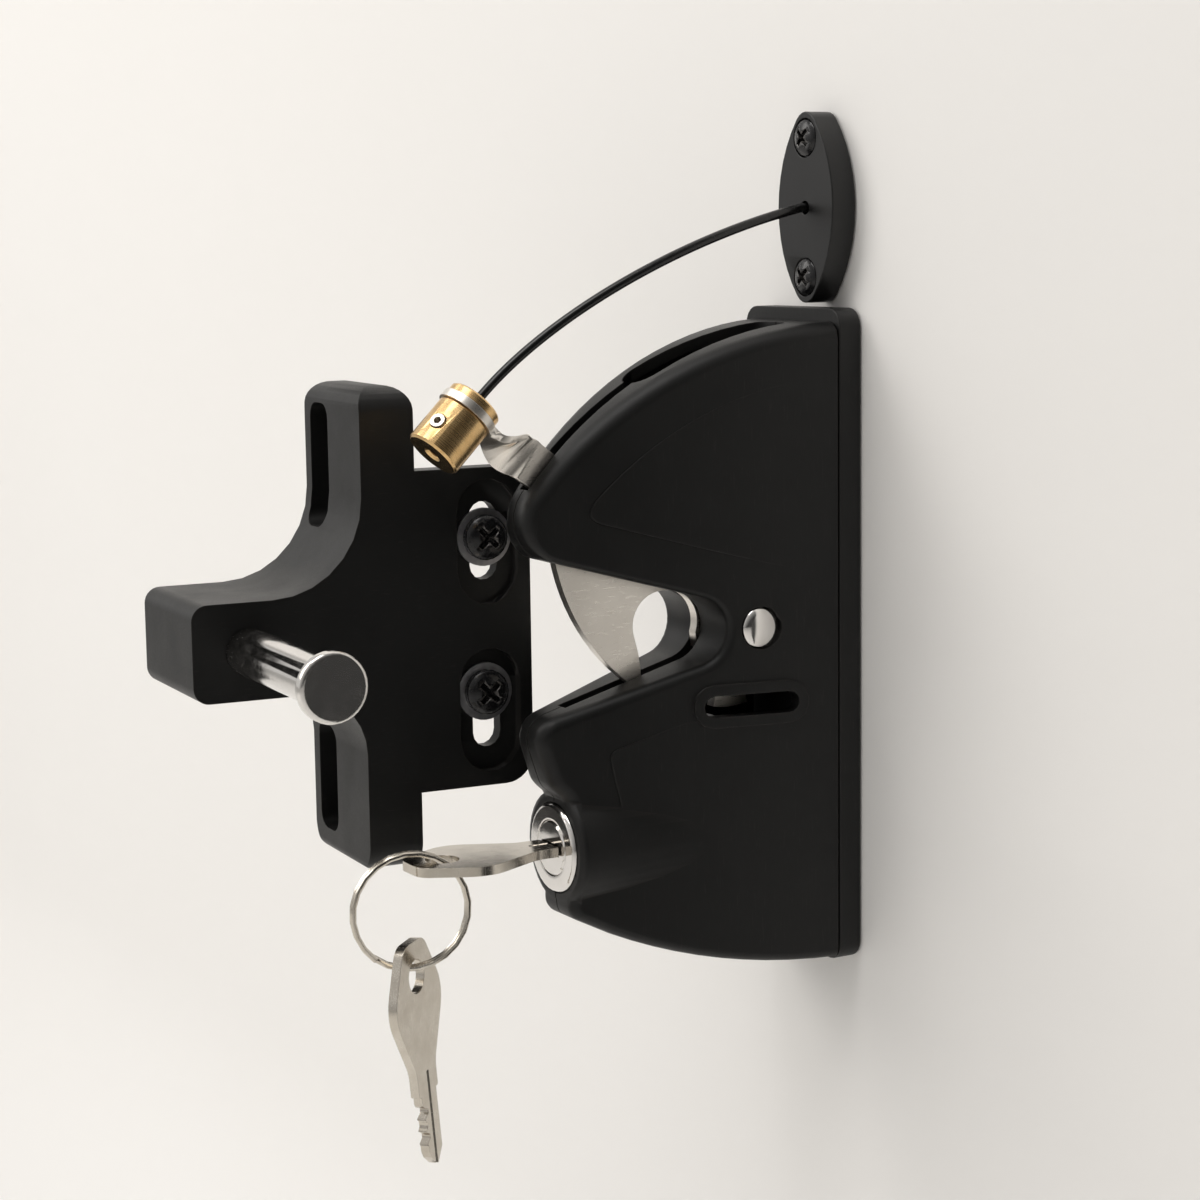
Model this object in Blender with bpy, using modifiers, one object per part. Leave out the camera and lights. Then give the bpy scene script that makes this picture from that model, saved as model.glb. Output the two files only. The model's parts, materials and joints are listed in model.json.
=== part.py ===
"""Key-locking gravity gate latch with a pull cable, a striker bracket and two keys.

Frame: the origin is on the post's face at the height of the claw's pivot. +X runs along the
fence, -Y points out of the post towards whoever opens the gate, +Z is up. Sizes are in metres.
The housing and escutcheon stand on the plane y = 0. The gate hangs 1.26 m away in -X and
stands 4 degrees open, so the striker bracket waits in front of the latch's mouth.
"""
from math import asin, atan2, cos, pi, radians, sin, sqrt, tan

import bmesh
import bpy
from mathutils import Matrix, Vector

MM = 0.001

# ---- driving dimensions: latch ------------------------------------------------------------
CLEARANCE = 0.3 * MM             # between pieces that sit next to each other
RUNNING_GAP = 0.08 * MM          # between pieces that turn or slide on each other
WALL = 2.4 * MM                  # moulded wall of the housing

BASE_HALF_WIDTH = 18.0 * MM
BASE_THICKNESS = 5.4 * MM
BASE_TOP = 67.0 * MM
BASE_BOTTOM = -75.0 * MM
BASE_CORNER = 4.0 * MM

HOUSING_BACK = -(BASE_THICKNESS + CLEARANCE)     # y of the open back of the housing
HOUSING_FRONT = -70.0 * MM
HALF_WIDTH_BACK = 17.7 * MM
HALF_WIDTH_FRONT = 5.9 * MM
TOP_ARC_CENTRE = Vector((-1.6, -27.7)) * MM      # (y, z)
TOP_ARC_RADIUS = 92.0 * MM
BOTTOM_ARC_CENTRE = Vector((-7.8, 44.4)) * MM
BOTTOM_ARC_RADIUS = 118.6 * MM
UPPER_NOSE_RADIUS = 9.0 * MM
MOUTH_HALF_ANGLE = radians(15.7)
THROAT_CENTRE = Vector((-38.0, 0.0)) * MM
THROAT_RADIUS = 7.5 * MM
LOCK_FRONT = -66.0 * MM          # y of the flat front around the lock
JAW_TIP = Vector((-74.0, -17.6)) * MM
JAW_CHIN = Vector((-69.5, -31.0)) * MM
SIDE_ROUND = 3.4 * MM

PIVOT = Vector((0.0, -23.2, 0.0)) * MM
RIVET_RADIUS = 3.0 * MM
RIVET_HEAD_RADIUS = 4.35 * MM
BUSH_RADIUS = 4.6 * MM
CLAW_THICKNESS = 2.5 * MM
CLAW_SLOT = 3.4 * MM             # width of the slot the claw runs in
ARM_ANGLE = radians(37.8)        # pull arm above the horizontal at rest
ARM_WIDTH = 8.6 * MM
ARM_TWIST_START = 60.5 * MM      # distance from the pivot
ARM_TWIST_END = 71.5 * MM
EYE_DISTANCE = 78.0 * MM
EYE_TILT = radians(45.0)         # slope of the eye's plate
EYE_RADIUS = 6.5 * MM
EYE_THICKNESS = 1.8 * MM

LOCK_HEIGHT = -44.9 * MM
LOCK_FACE = -67.2 * MM
LOCK_FACE_RADIUS = 9.5 * MM
BARREL_RADIUS = 8.0 * MM
PLUG_RADIUS = 6.0 * MM
BOSS_RADIUS = 12.4 * MM
CRANK_RADIUS = 5.0 * MM          # eccentric pin of the lock's cam
LOCK_START = radians(-45.0)      # crank angle with the latch unlocked

WINDOW_CENTRE = Vector((-25.8, -16.2)) * MM
WINDOW_LENGTH = 21.5 * MM
WINDOW_HEIGHT = 4.6 * MM
WINDOW_RIM = 2.3 * MM

# ---- driving dimensions: cable and escutcheon -----------------------------------------------
CLAMP_RADIUS = 6.0 * MM
CLAMP_LENGTH = 10.6 * MM
CABLE_RADIUS = 1.0 * MM
ESCUTCHEON_CENTRE = Vector((6.0, 0.0, 88.2)) * MM
ESCUTCHEON_HALF_WIDTH = 10.2 * MM
ESCUTCHEON_HALF_HEIGHT = 20.2 * MM
ESCUTCHEON_THICKNESS = 6.0 * MM
ESCUTCHEON_TIP_RADIUS = 4.2 * MM
ESCUTCHEON_SCREW_OFFSET = 14.7 * MM

# ---- driving dimensions: keys and ring --------------------------------------------------------
KEY_THICKNESS = 2.0 * MM
KEY_LENGTH = 49.0 * MM
BLADE_LENGTH = 16.3 * MM
BLADE_WIDTH = 6.8 * MM
NECK_WIDTH = 8.8 * MM
BOW_LENGTH = 26.0 * MM
BOW_WIDTH = 20.3 * MM
KEY_HOLE_RADIUS = 3.6 * MM
KEY_RIM = 3.9 * MM
RING_RADIUS = 12.2 * MM
RING_WIRE = 0.6 * MM
RING_PITCH = 1.35 * MM
RING_YAW = radians(-14.0)

# ---- driving dimensions: striker ----------------------------------------------------------------
GATE_OPEN_ANGLE = radians(-4.0)
GATE_HINGE = Vector((-1248.0, -10.0, 0.0)) * MM
STRIKER_ROOT = Vector((-25.0, -123.7, -1.0)) * MM    # pin's root on the bracket's arm, gate ajar
BRACKET_DEPTH = 33.4 * MM
FLANGE_FRONT = 25.5 * MM
FLANGE_BACK = 37.6 * MM
FLANGE_TOP = 53.4 * MM
FLANGE_BOTTOM = -50.2 * MM
HORN_FRONT = -12.1 * MM
HORN_HALF_HEIGHT = 10.3 * MM
HORN_FILLET = 20.0 * MM
PLATE_THICKNESS = 6.0 * MM
PLATE_EDGE = 64.0 * MM
PLATE_TOP = 35.4 * MM
PLATE_BOTTOM = -33.8 * MM
STRIKER_RADIUS = 5.0 * MM
STRIKER_LENGTH = 50.6 * MM
STRIKER_HEAD_RADIUS = 7.1 * MM


# ---- scene and materials ----------------------------------------------------------------------
def clear_scene():
    for obj in list(bpy.data.objects):
        bpy.data.objects.remove(obj, do_unlink=True)


def make_collection(name):
    group = bpy.data.collections.new(name)
    bpy.context.scene.collection.children.link(group)
    return group


def make_material(name, colour, roughness, metallic):
    mat = bpy.data.materials.new(name)
    mat.use_nodes = True
    shader = mat.node_tree.nodes["Principled BSDF"]
    shader.inputs["Base Color"].default_value = (*colour, 1.0)
    shader.inputs["Roughness"].default_value = roughness
    shader.inputs["Metallic"].default_value = metallic
    return mat


clear_scene()
PARTS = make_collection("gate_latch")
CUTTERS = make_collection("cutters")
NYLON = make_material("black_nylon", (0.012, 0.012, 0.013), 0.42, 0.0)
COATED = make_material("black_coated_metal", (0.014, 0.014, 0.015), 0.38, 0.3)
STAINLESS = make_material("stainless_steel", (0.62, 0.60, 0.57), 0.24, 1.0)
CHROME = make_material("polished_chrome", (0.78, 0.77, 0.75), 0.10, 1.0)
BRASS = make_material("brass", (0.72, 0.53, 0.24), 0.28, 1.0)
NICKEL = make_material("nickel", (0.66, 0.63, 0.58), 0.26, 1.0)
ZINC = make_material("zinc_plate", (0.60, 0.61, 0.62), 0.36, 1.0)
BLACK_STEEL = make_material("black_steel", (0.020, 0.020, 0.021), 0.30, 0.8)
RUBBER = make_material("cable_jacket", (0.010, 0.010, 0.010), 0.30, 0.0)
BUSHING = make_material("acetal", (0.80, 0.79, 0.75), 0.50, 0.0)


# ---- plane geometry: outlines are lists of (u, v) points ------------------------------------------
def polar(centre, radius, angle):
    return Vector((centre[0] + radius * cos(angle), centre[1] + radius * sin(angle)))


def arc(centre, radius, start, end, steps):
    return [polar(centre, radius, start + (end - start) * i / steps) for i in range(steps + 1)]


def circle(centre, radius, steps):
    return arc(centre, radius, 0.0, 2 * pi, steps)[:-1]


def rounded(corners, steps=5):
    """A closed polygon through corners (u, v, radius), each rounded by a tangent arc."""
    points = []
    count = len(corners)
    for i, (u, v, radius) in enumerate(corners):
        here = Vector((u, v))
        if radius == 0.0:
            points.append(here)
            continue
        before = (Vector(corners[i - 1][:2]) - here).normalized()
        after = (Vector(corners[(i + 1) % count][:2]) - here).normalized()
        half = before.angle(after) / 2
        centre = here + (before + after).normalized() * radius / sin(half)
        first = here + before * radius / tan(half) - centre
        last = here + after * radius / tan(half) - centre
        start = atan2(first.y, first.x)
        turn = first.angle_signed(last)
        points += [polar(centre, radius, start - turn * k / steps) for k in range(steps + 1)]
    return points


def slot_outline(centre, length, height, steps=7):
    reach = (length - height) / 2
    right = arc((centre[0] + reach, centre[1]), height / 2, -pi / 2, pi / 2, steps)
    left = arc((centre[0] - reach, centre[1]), height / 2, pi / 2, 3 * pi / 2, steps)
    return right + left


# ---- solids -----------------------------------------------------------------------------------------
def add_object(name, mesh, material, group=None):
    obj = bpy.data.objects.new(name, mesh)
    (group or PARTS).objects.link(obj)
    if material:
        mesh.materials.append(material)
    return obj


def bmesh_object(name, bm, material, group=None):
    bmesh.ops.recalc_face_normals(bm, faces=bm.faces)
    mesh = bpy.data.meshes.new(name)
    bm.to_mesh(mesh)
    bm.free()
    return add_object(name, mesh, material, group)


def smooth(obj, angle=32.0):
    obj.data.shade_smooth()
    obj.data.set_sharp_from_angle(angle=radians(angle))
    return obj


def axis_matrix(origin, z_axis, x_hint=Vector((0, 0, 1))):
    """A matrix whose local Z points along z_axis and whose local X lies near x_hint."""
    z_dir = Vector(z_axis).normalized()
    x_dir = (Vector(x_hint) - z_dir * z_dir.dot(x_hint)).normalized()
    turn = Matrix((x_dir, z_dir.cross(x_dir), z_dir)).transposed()
    return Matrix.Translation(origin) @ turn.to_4x4()


def cylinder(name, radius, start, end, material, group=None, steps=28, end_radius=None):
    start, end = Vector(start), Vector(end)
    bm = bmesh.new()
    bmesh.ops.create_cone(bm, cap_ends=True, segments=steps, radius1=radius,
                          radius2=radius if end_radius is None else end_radius,
                          depth=(end - start).length)
    obj = bmesh_object(name, bm, material, group)
    obj.matrix_world = axis_matrix((start + end) / 2, end - start)
    return obj


def box(name, low, high, material, group=None):
    low, high = Vector(low), Vector(high)
    bm = bmesh.new()
    bmesh.ops.create_cube(bm, size=1.0)
    bmesh.ops.scale(bm, vec=high - low, verts=bm.verts)
    obj = bmesh_object(name, bm, material, group)
    obj.location = (low + high) / 2
    return obj


def turned(name, profile, matrix, material, group=None, steps=28):
    """A profile of (radius, height) points, highest first, turned about the matrix's Z axis."""
    mesh = bpy.data.meshes.new(name)
    edges = [(i, i + 1) for i in range(len(profile) - 1)]
    mesh.from_pydata([(r, 0.0, h) for r, h in profile], edges, [])
    obj = add_object(name, mesh, material, group)
    obj.matrix_world = matrix
    screw = obj.modifiers.new("turn", "SCREW")
    screw.steps = screw.render_steps = steps
    screw.use_merge_vertices = True
    screw.merge_threshold = 1e-6
    screw.use_smooth_shade = True
    return obj


def plate(name, outline, matrix, thickness, material, group=None, holes=()):
    """A flat outline as a filled 2D curve, extruded half the thickness each way along local Z."""
    curve = bpy.data.curves.new(name, "CURVE")
    curve.dimensions = "2D"
    curve.fill_mode = "BOTH"
    curve.extrude = thickness / 2
    for loop in (outline, *holes):
        spline = curve.splines.new("POLY")
        spline.points.add(len(loop) - 1)
        for point, (u, v) in zip(spline.points, loop):
            point.co = (u, v, 0.0, 1.0)
        spline.use_cyclic_u = True
    return curve_to_mesh(name, curve, matrix, material, group)


def tube(name, points, radius, matrix, material, group=None):
    curve = bpy.data.curves.new(name, "CURVE")
    curve.dimensions = "3D"
    curve.bevel_depth = radius
    curve.bevel_resolution = 2
    curve.use_fill_caps = True
    spline = curve.splines.new("POLY")
    spline.points.add(len(points) - 1)
    for point, place in zip(spline.points, points):
        point.co = (*place, 1.0)
    return curve_to_mesh(name, curve, matrix, material, group)


def curve_to_mesh(name, curve, matrix, material, group):
    source = bpy.data.objects.new(name + "_curve", curve)
    PARTS.objects.link(source)
    source.matrix_world = matrix
    bpy.context.view_layer.update()
    graph = bpy.context.evaluated_depsgraph_get()
    mesh = bpy.data.meshes.new_from_object(source.evaluated_get(graph))
    bm = bmesh.new()
    bm.from_mesh(mesh)
    bmesh.ops.remove_doubles(bm, verts=bm.verts, dist=1e-6)
    bmesh.ops.recalc_face_normals(bm, faces=bm.faces)
    bm.to_mesh(mesh)
    bm.free()
    obj = add_object(name, mesh, material, group)
    obj.matrix_world = source.matrix_world.copy()
    bpy.data.objects.remove(source, do_unlink=True)
    return obj


def combine(target, tool, operation):
    modifier = target.modifiers.new(tool.name, "BOOLEAN")
    modifier.operation = operation
    modifier.object = tool
    for group in tool.users_collection:
        group.objects.unlink(tool)
    CUTTERS.objects.link(tool)
    tool.hide_render = True
    tool.display_type = "WIRE"


def cut(target, *tools):
    for tool in tools:
        combine(target, tool, "DIFFERENCE")


def join(target, *tools):
    for tool in tools:
        combine(target, tool, "UNION")


def bevel(obj, width, segments=2, angle=40.0):
    modifier = obj.modifiers.new("edges", "BEVEL")
    modifier.width = width
    modifier.segments = segments
    modifier.limit_method = "ANGLE"
    modifier.angle_limit = radians(angle)


# Matrices that turn an outline's (u, v) into the plane named, with local Z as the third axis.
SIDE_PLANE = Matrix(((0, 0, 1, 0), (1, 0, 0, 0), (0, 1, 0, 0), (0, 0, 0, 1)))     # (y, z), +X
FRONT_PLANE = Matrix(((1, 0, 0, 0), (0, 0, -1, 0), (0, 1, 0, 0), (0, 0, 0, 1)))   # (x, z), -Y


def at(matrix, x=0.0, y=0.0, z=0.0):
    return Matrix.Translation((x, y, z)) @ matrix


# ---- housing ------------------------------------------------------------------------------------------
def half_width(y):
    """The housing tapers in plan, from its back to its nose."""
    share = (y - HOUSING_FRONT) / (HOUSING_BACK - HOUSING_FRONT)
    return HALF_WIDTH_FRONT + (HALF_WIDTH_BACK - HALF_WIDTH_FRONT) * share


def height_on_arc(centre, radius, y, sign):
    return centre[1] + sign * sqrt(radius ** 2 - (y - centre[0]) ** 2)


def housing_outline(inset, back):
    """The side view of the housing, moved inwards by inset: a D with a wedge-shaped mouth."""
    top_radius = TOP_ARC_RADIUS - inset
    nose_radius = UPPER_NOSE_RADIUS - inset
    throat_radius = THROAT_RADIUS + inset
    up = Vector((sin(MOUTH_HALF_ANGLE), cos(MOUTH_HALF_ANGLE)))
    # The nose's centre lies one nose radius inside both the top arc and the mouth's upper line.
    lift = THROAT_RADIUS + UPPER_NOSE_RADIUS
    along = Vector((-up[1], up[0]))
    start = THROAT_CENTRE + up * lift - TOP_ARC_CENTRE
    half_b = start.dot(along)
    reach = -half_b + sqrt(half_b ** 2 - start.length_squared
                           + (TOP_ARC_RADIUS - UPPER_NOSE_RADIUS) ** 2)
    nose = TOP_ARC_CENTRE + start + along * reach
    away = nose - TOP_ARC_CENTRE
    nose_angle = atan2(away.y, away.x)
    first_angle = pi / 2 - asin((back - TOP_ARC_CENTRE[0]) / top_radius)
    points = arc(TOP_ARC_CENTRE, top_radius, first_angle, nose_angle, 16)
    points += arc(nose, nose_radius, nose_angle, 3 * pi / 2 - MOUTH_HALF_ANGLE, 8)[1:]
    points += arc(THROAT_CENTRE, throat_radius, pi / 2 - MOUTH_HALF_ANGLE,
                  -pi / 2 + MOUTH_HALF_ANGLE, 14)
    # Lower jaw, chin and the flat front around the lock.
    down = Vector((up[0], -up[1]))
    jaw_start = THROAT_CENTRE + down * throat_radius
    jaw_end = JAW_TIP + down * inset + Vector((inset, 0.0))
    low_front = height_on_arc(BOTTOM_ARC_CENTRE, BOTTOM_ARC_RADIUS, LOCK_FRONT, -1)
    front = rounded([
        (*jaw_start, 0.0),
        (*jaw_end, 5.2 * MM - inset),
        (JAW_CHIN[0] + inset, JAW_CHIN[1], 5.0 * MM),
        (LOCK_FRONT + inset, JAW_CHIN[1] - 3.0 * MM, 3.0 * MM),
        (LOCK_FRONT + inset, low_front + inset, 3.4 * MM - inset),
        (LOCK_FRONT + 9.0 * MM, height_on_arc(BOTTOM_ARC_CENTRE, BOTTOM_ARC_RADIUS - inset,
                                              LOCK_FRONT + 9.0 * MM, -1), 0.0),
    ], 4)
    points += front[1:-1]
    bottom_radius = BOTTOM_ARC_RADIUS - inset
    begin = -pi / 2 - asin((BOTTOM_ARC_CENTRE[0] - front[-1][0]) / bottom_radius)
    finish_angle = -pi / 2 + asin((back - BOTTOM_ARC_CENTRE[0]) / bottom_radius)
    points += arc(BOTTOM_ARC_CENTRE, bottom_radius, begin, finish_angle, 10)
    return points


def inward_normals(outline):
    """Unit normals into a counter-clockwise outline; the ends, on the back, point along z."""
    count = len(outline)
    normals = []
    for i in range(count):
        before = outline[i] - outline[i - 1]
        after = outline[(i + 1) % count] - outline[i]
        along = before.normalized() + after.normalized()
        normals.append(Vector((-along.y, along.x)).normalized())
    normals[0], normals[-1] = Vector((0.0, -1.0)), Vector((0.0, 1.0))
    return normals


def tapered_block(name, outline, side, inner_x, shrink, material, group=None, rounds=None, steps=3):
    """The outline between x = inner_x and the tapered side face, on one side of the middle.

    rounds holds, for each outline point, the radius of the rounding between wall and side face.
    """
    bm = bmesh.new()
    count = len(outline)
    rings = [[bm.verts.new((side * inner_x, *point)) for point in outline]]
    if rounds:
        normals = inward_normals(outline)
        for k in range(steps + 1):
            angle = pi / 2 * k / steps
            ring = []
            for point, normal, radius in zip(outline, normals, rounds):
                place = point + normal * radius * (1 - cos(angle))
                width = half_width(place.x) - shrink - radius * (1 - sin(angle))
                ring.append(bm.verts.new((side * width, *place)))
            rings.append(ring)
    else:
        rings.append([bm.verts.new((side * (half_width(point[0]) - shrink), *point))
                      for point in outline])
    bm.faces.new(rings[0])
    bm.faces.new(rings[-1])
    for first, second in zip(rings, rings[1:]):
        for i in range(count):
            j = (i + 1) % count
            bm.faces.new((first[i], first[j], second[j], second[i]))
    return bmesh_object(name, bm, material, group)


def side_rounds(outline):
    """Rounding along the outline: full on the crown, slight above the mouth, softer below it."""
    radii = []
    for _, z in outline:
        if z > 12.0 * MM:
            lip = min(1.0, max(0.0, (z - 15.0 * MM) / (13.0 * MM)))
            radii.append(1.2 * MM + (SIDE_ROUND - 1.2 * MM) * lip)
        elif z > -THROAT_RADIUS:
            radii.append(1.2 * MM + 0.9 * MM * (THROAT_RADIUS - z) / (2 * THROAT_RADIUS))
        elif z > LOCK_HEIGHT:
            radii.append(2.8 * MM)
        else:
            radii.append(2.2 * MM)
    return radii


SHELL_SCREWS = [(-11.5 * MM, 51.0 * MM), (-12.0 * MM, -62.0 * MM), (-50.0 * MM, -59.5 * MM)]
SHELL_SCREW_RADIUS = 1.5 * MM


def ray_sector(inner, outer, low, high, steps=8):
    """A ring sector round the pivot, angles counted up from the -Y direction, as (y, z)."""
    middle = (PIVOT.y, PIVOT.z)
    return (arc(middle, outer, pi - low, pi - high, steps)
            + arc(middle, inner, pi - high, pi - low, steps))


def build_shell(name, side):
    outline = housing_outline(0.0, HOUSING_BACK)
    shell = tapered_block(name, outline, side, 0.5 * CLEARANCE, 0.0, NYLON,
                          rounds=side_rounds(outline))
    boss_start, boss_end = LOCK_FRONT - 0.25 * MM, -34.0 * MM
    boss = turned(name + "_lock_boss",
                  [(0.0, 0.0), (BOSS_RADIUS - 1.6 * MM, 0.0), (BOSS_RADIUS - 0.45 * MM, -0.45 * MM),
                   (BOSS_RADIUS, -1.6 * MM), (BOSS_RADIUS, boss_start - boss_end),
                   (0.0, boss_start - boss_end)],
                  axis_matrix((0, boss_start, LOCK_HEIGHT), (0, -1, 0)), None, steps=32)
    join(shell, boss)
    rim = tapered_block(name + "_window_rim",
                        slot_outline(WINDOW_CENTRE, WINDOW_LENGTH + 2 * WINDOW_RIM,
                                     WINDOW_HEIGHT + 2 * WINDOW_RIM), side,
                        3.0 * MM, -0.7 * MM, None)
    join(shell, rim)
    # Only this side's half of the boss stays.
    far = 40.0 * MM
    other_half = box(name + "_other_half", (-far, -90 * MM, -90 * MM), (0, 10 * MM, 90 * MM), None)
    other_half.location.x = side * (0.5 * CLEARANCE - far / 2)
    cut(shell, other_half)
    hollow = tapered_block(name + "_hollow", housing_outline(WALL, HOUSING_BACK + 2 * MM), side,
                           -1.0 * MM, WALL, None)
    cut(hollow, cylinder(name + "_lock_keep", BOSS_RADIUS - 0.4 * MM, (0, -70 * MM, LOCK_HEIGHT),
                         (0, -39.5 * MM, LOCK_HEIGHT), None, steps=28))
    for index, (y, z) in enumerate(SHELL_SCREWS):
        cut(hollow, cylinder(f"{name}_post_{index}", 3.6 * MM, (-far, y, z), (far, y, z), None,
                             steps=16))
    pillar_inner = CLAW_SLOT / 2 + 0.1 * MM
    cut(hollow, cylinder(name + "_pivot_pillar", 7.5 * MM, (side * pillar_inner, *PIVOT.yz),
                         (side * far, *PIVOT.yz), None, steps=24))
    cut(shell, hollow)
    cut_openings(shell, name, side, far)
    return smooth(shell)


def cut_openings(shell, name, side, far):
    low, high = -far, far
    # One stepped bore: the seat of the lock's face, its barrel, then the space of clip and cam.
    seat, barrel = LOCK_FACE_RADIUS + CLEARANCE, BARREL_RADIUS + CLEARANCE
    space = BOSS_RADIUS - 1.9 * MM
    seat_floor, barrel_end, space_end = LOCK_FACE + 1.7 * MM, -39.5 * MM, -30.0 * MM
    start = -80.0 * MM
    cut(shell, turned(name + "_lock_bore",
                      [(0.0, -start), (seat, -start), (seat, -seat_floor), (barrel, -seat_floor),
                       (barrel, -barrel_end), (space, -barrel_end), (space, -space_end),
                       (0.0, -space_end)],
                      axis_matrix((0, 0, LOCK_HEIGHT), (0, -1, 0)), None, steps=28))
    # The claw's slot: through both walls of the mouth, narrow at the nose, wide further up.
    slot = CLAW_SLOT
    mouth = rounded([(-63 * MM, -21 * MM, 0.0), (-26 * MM, -9.9 * MM, 0.0),
                     (-26 * MM, 12 * MM, 0.0), (-67 * MM, 22 * MM, 0.0), (-67 * MM, 0, 0.0)])
    cut(shell,
        plate(name + "_mouth_slot", mouth, SIDE_PLANE, slot, None),
        plate(name + "_arm_slot", ray_sector(50 * MM, 70 * MM, radians(32.6), radians(80)),
              SIDE_PLANE, slot, None))
    wide = rounded([(-5.6 * MM, -47 * MM, 4.5 * MM), (5.6 * MM, -47 * MM, 4.5 * MM),
                    (5.6 * MM, -9.5 * MM, 3 * MM), (-5.6 * MM, -9.5 * MM, 3 * MM)])
    cut(shell, plate(name + "_wide_slot", wide, at(Matrix(), z=58 * MM), 40 * MM, None))
    # The oblong window, the pivot's bore and the seat of the rivet's head.
    cut(shell, plate(name + "_window", slot_outline(WINDOW_CENTRE, WINDOW_LENGTH, WINDOW_HEIGHT),
                     at(SIDE_PLANE, x=side * 20 * MM), 39 * MM - 2 * CLAW_SLOT, None))
    cut(shell,
        cylinder(name + "_pivot_bore", RIVET_RADIUS + CLEARANCE, (low, *PIVOT.yz),
                 (high, *PIVOT.yz), None, steps=24),
        cylinder(name + "_rivet_seat", RIVET_HEAD_RADIUS + 0.25 * MM,
                 (side * 13.2 * MM, *PIVOT.yz), (side * 30 * MM, *PIVOT.yz), None))
    # Screw posts: clearance and a sunk head on the far side, a blind pilot on the near side.
    for index, (y, z) in enumerate(SHELL_SCREWS):
        skin = half_width(y)
        end = skin - 2.2 * MM if side > 0 else far
        cut(shell, cylinder(f"{name}_pilot_{index}", SHELL_SCREW_RADIUS + CLEARANCE,
                            (-side * 1 * MM, y, z), (side * end, y, z), None, steps=12))
        if side < 0:
            cut(shell, cylinder(f"{name}_sink_{index}", 3.1 * MM, (-(skin - 2.6 * MM), y, z),
                                (-far, y, z), None, steps=16))


# ---- base plate and screws ------------------------------------------------------------------------
BASE_SCREW_HEIGHTS = [40.0 * MM, 18.0 * MM, -50.0 * MM]
BASE_SCREW_RADIUS = 2.2 * MM


def build_base():
    outline = rounded([(-BASE_HALF_WIDTH, BASE_BOTTOM, BASE_CORNER),
                       (BASE_HALF_WIDTH, BASE_BOTTOM, BASE_CORNER),
                       (BASE_HALF_WIDTH, BASE_TOP, BASE_CORNER),
                       (-BASE_HALF_WIDTH, BASE_TOP, BASE_CORNER)])
    base = plate("base_plate", outline, at(FRONT_PLANE, y=-BASE_THICKNESS / 2),
                 BASE_THICKNESS, NYLON)
    bevel(base, 0.9 * MM, 2)
    for index, z in enumerate(BASE_SCREW_HEIGHTS):
        hole = slot_outline((z, 0.0), 9.0 * MM, 2 * (BASE_SCREW_RADIUS + 0.4 * MM))
        cut(base, plate(f"base_slot_{index}", [(-v, u) for u, v in hole],
                        at(FRONT_PLANE, y=-BASE_THICKNESS / 2), 3 * BASE_THICKNESS, None))
    return smooth(base)


def phillips_screw(name, matrix, head_radius, head_height, shank_radius, length, material,
                   steps=20, sunk=False):
    """A cross-head screw: local Z points out of the head, and z = 0 is under the head."""
    if sunk:
        profile = [(0.0, 0.0), (head_radius, 0.0), (shank_radius, -head_height)]
        top = 0.0
    else:
        top = head_height
        profile = [(0.0, top)]
        profile += [(head_radius * sin(a), top * (0.45 + 0.55 * cos(a)))
                    for a in (radians(d) for d in (28, 52, 74, 90))]
        profile += [(head_radius, 0.0), (shank_radius, 0.0)]
    profile += [(shank_radius, -length + 2.5 * shank_radius), (0.0, -length)]
    screw = turned(name, profile, matrix, material, steps=steps)
    depth = 0.62 * head_height
    reach = head_radius * 0.58
    for index in (0, 1):
        blade = box(f"{name}_cross_{index}", (-reach, -reach * 0.22, -depth),
                    (reach, reach * 0.22, depth), None)
        blade.matrix_world = (matrix @ Matrix.Translation((0, 0, top))
                              @ Matrix.Rotation(radians(45 + 90 * index), 4, "Z"))
        cut(screw, blade)
    return screw


def build_latch_fasteners():
    for index, z in enumerate(BASE_SCREW_HEIGHTS):
        phillips_screw(f"base_screw_{index + 1}",
                       axis_matrix((0, -BASE_THICKNESS - CLEARANCE, z), (0, -1, 0)),
                       4.2 * MM, 2.4 * MM, BASE_SCREW_RADIUS, 26 * MM, ZINC, steps=16)
    for index, (y, z) in enumerate(SHELL_SCREWS):
        head_x = -(half_width(y) - 1.0 * MM)
        length = -head_x + half_width(y) - 4.5 * MM
        phillips_screw(f"shell_screw_{index + 1}", axis_matrix((head_x, y, z), (-1, 0, 0)),
                       2.8 * MM, 1.5 * MM, SHELL_SCREW_RADIUS, length, BLACK_STEEL, steps=16,
                       sunk=True)


# ---- claw, pivot and pull arm ---------------------------------------------------------------------
def arm_direction(offset=0.0):
    angle = ARM_ANGLE + offset
    return Vector((0.0, -cos(angle), sin(angle)))


EYE_CENTRE = PIVOT + arm_direction() * EYE_DISTANCE
EYE_NORMAL = Vector((0.0, sin(EYE_TILT), cos(EYE_TILT)))
NOTCH_CENTRE = Vector((-40.0, 0.6)) * MM
NOTCH_RADIUS = 7.25 * MM
NOTCH_REACH = Vector((1.6, 0.0)) * MM       # the notch is longer than round by this much
RAMP_CENTRE = Vector((-20.7, 25.5)) * MM
RAMP_RADIUS = 46.0 * MM


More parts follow.
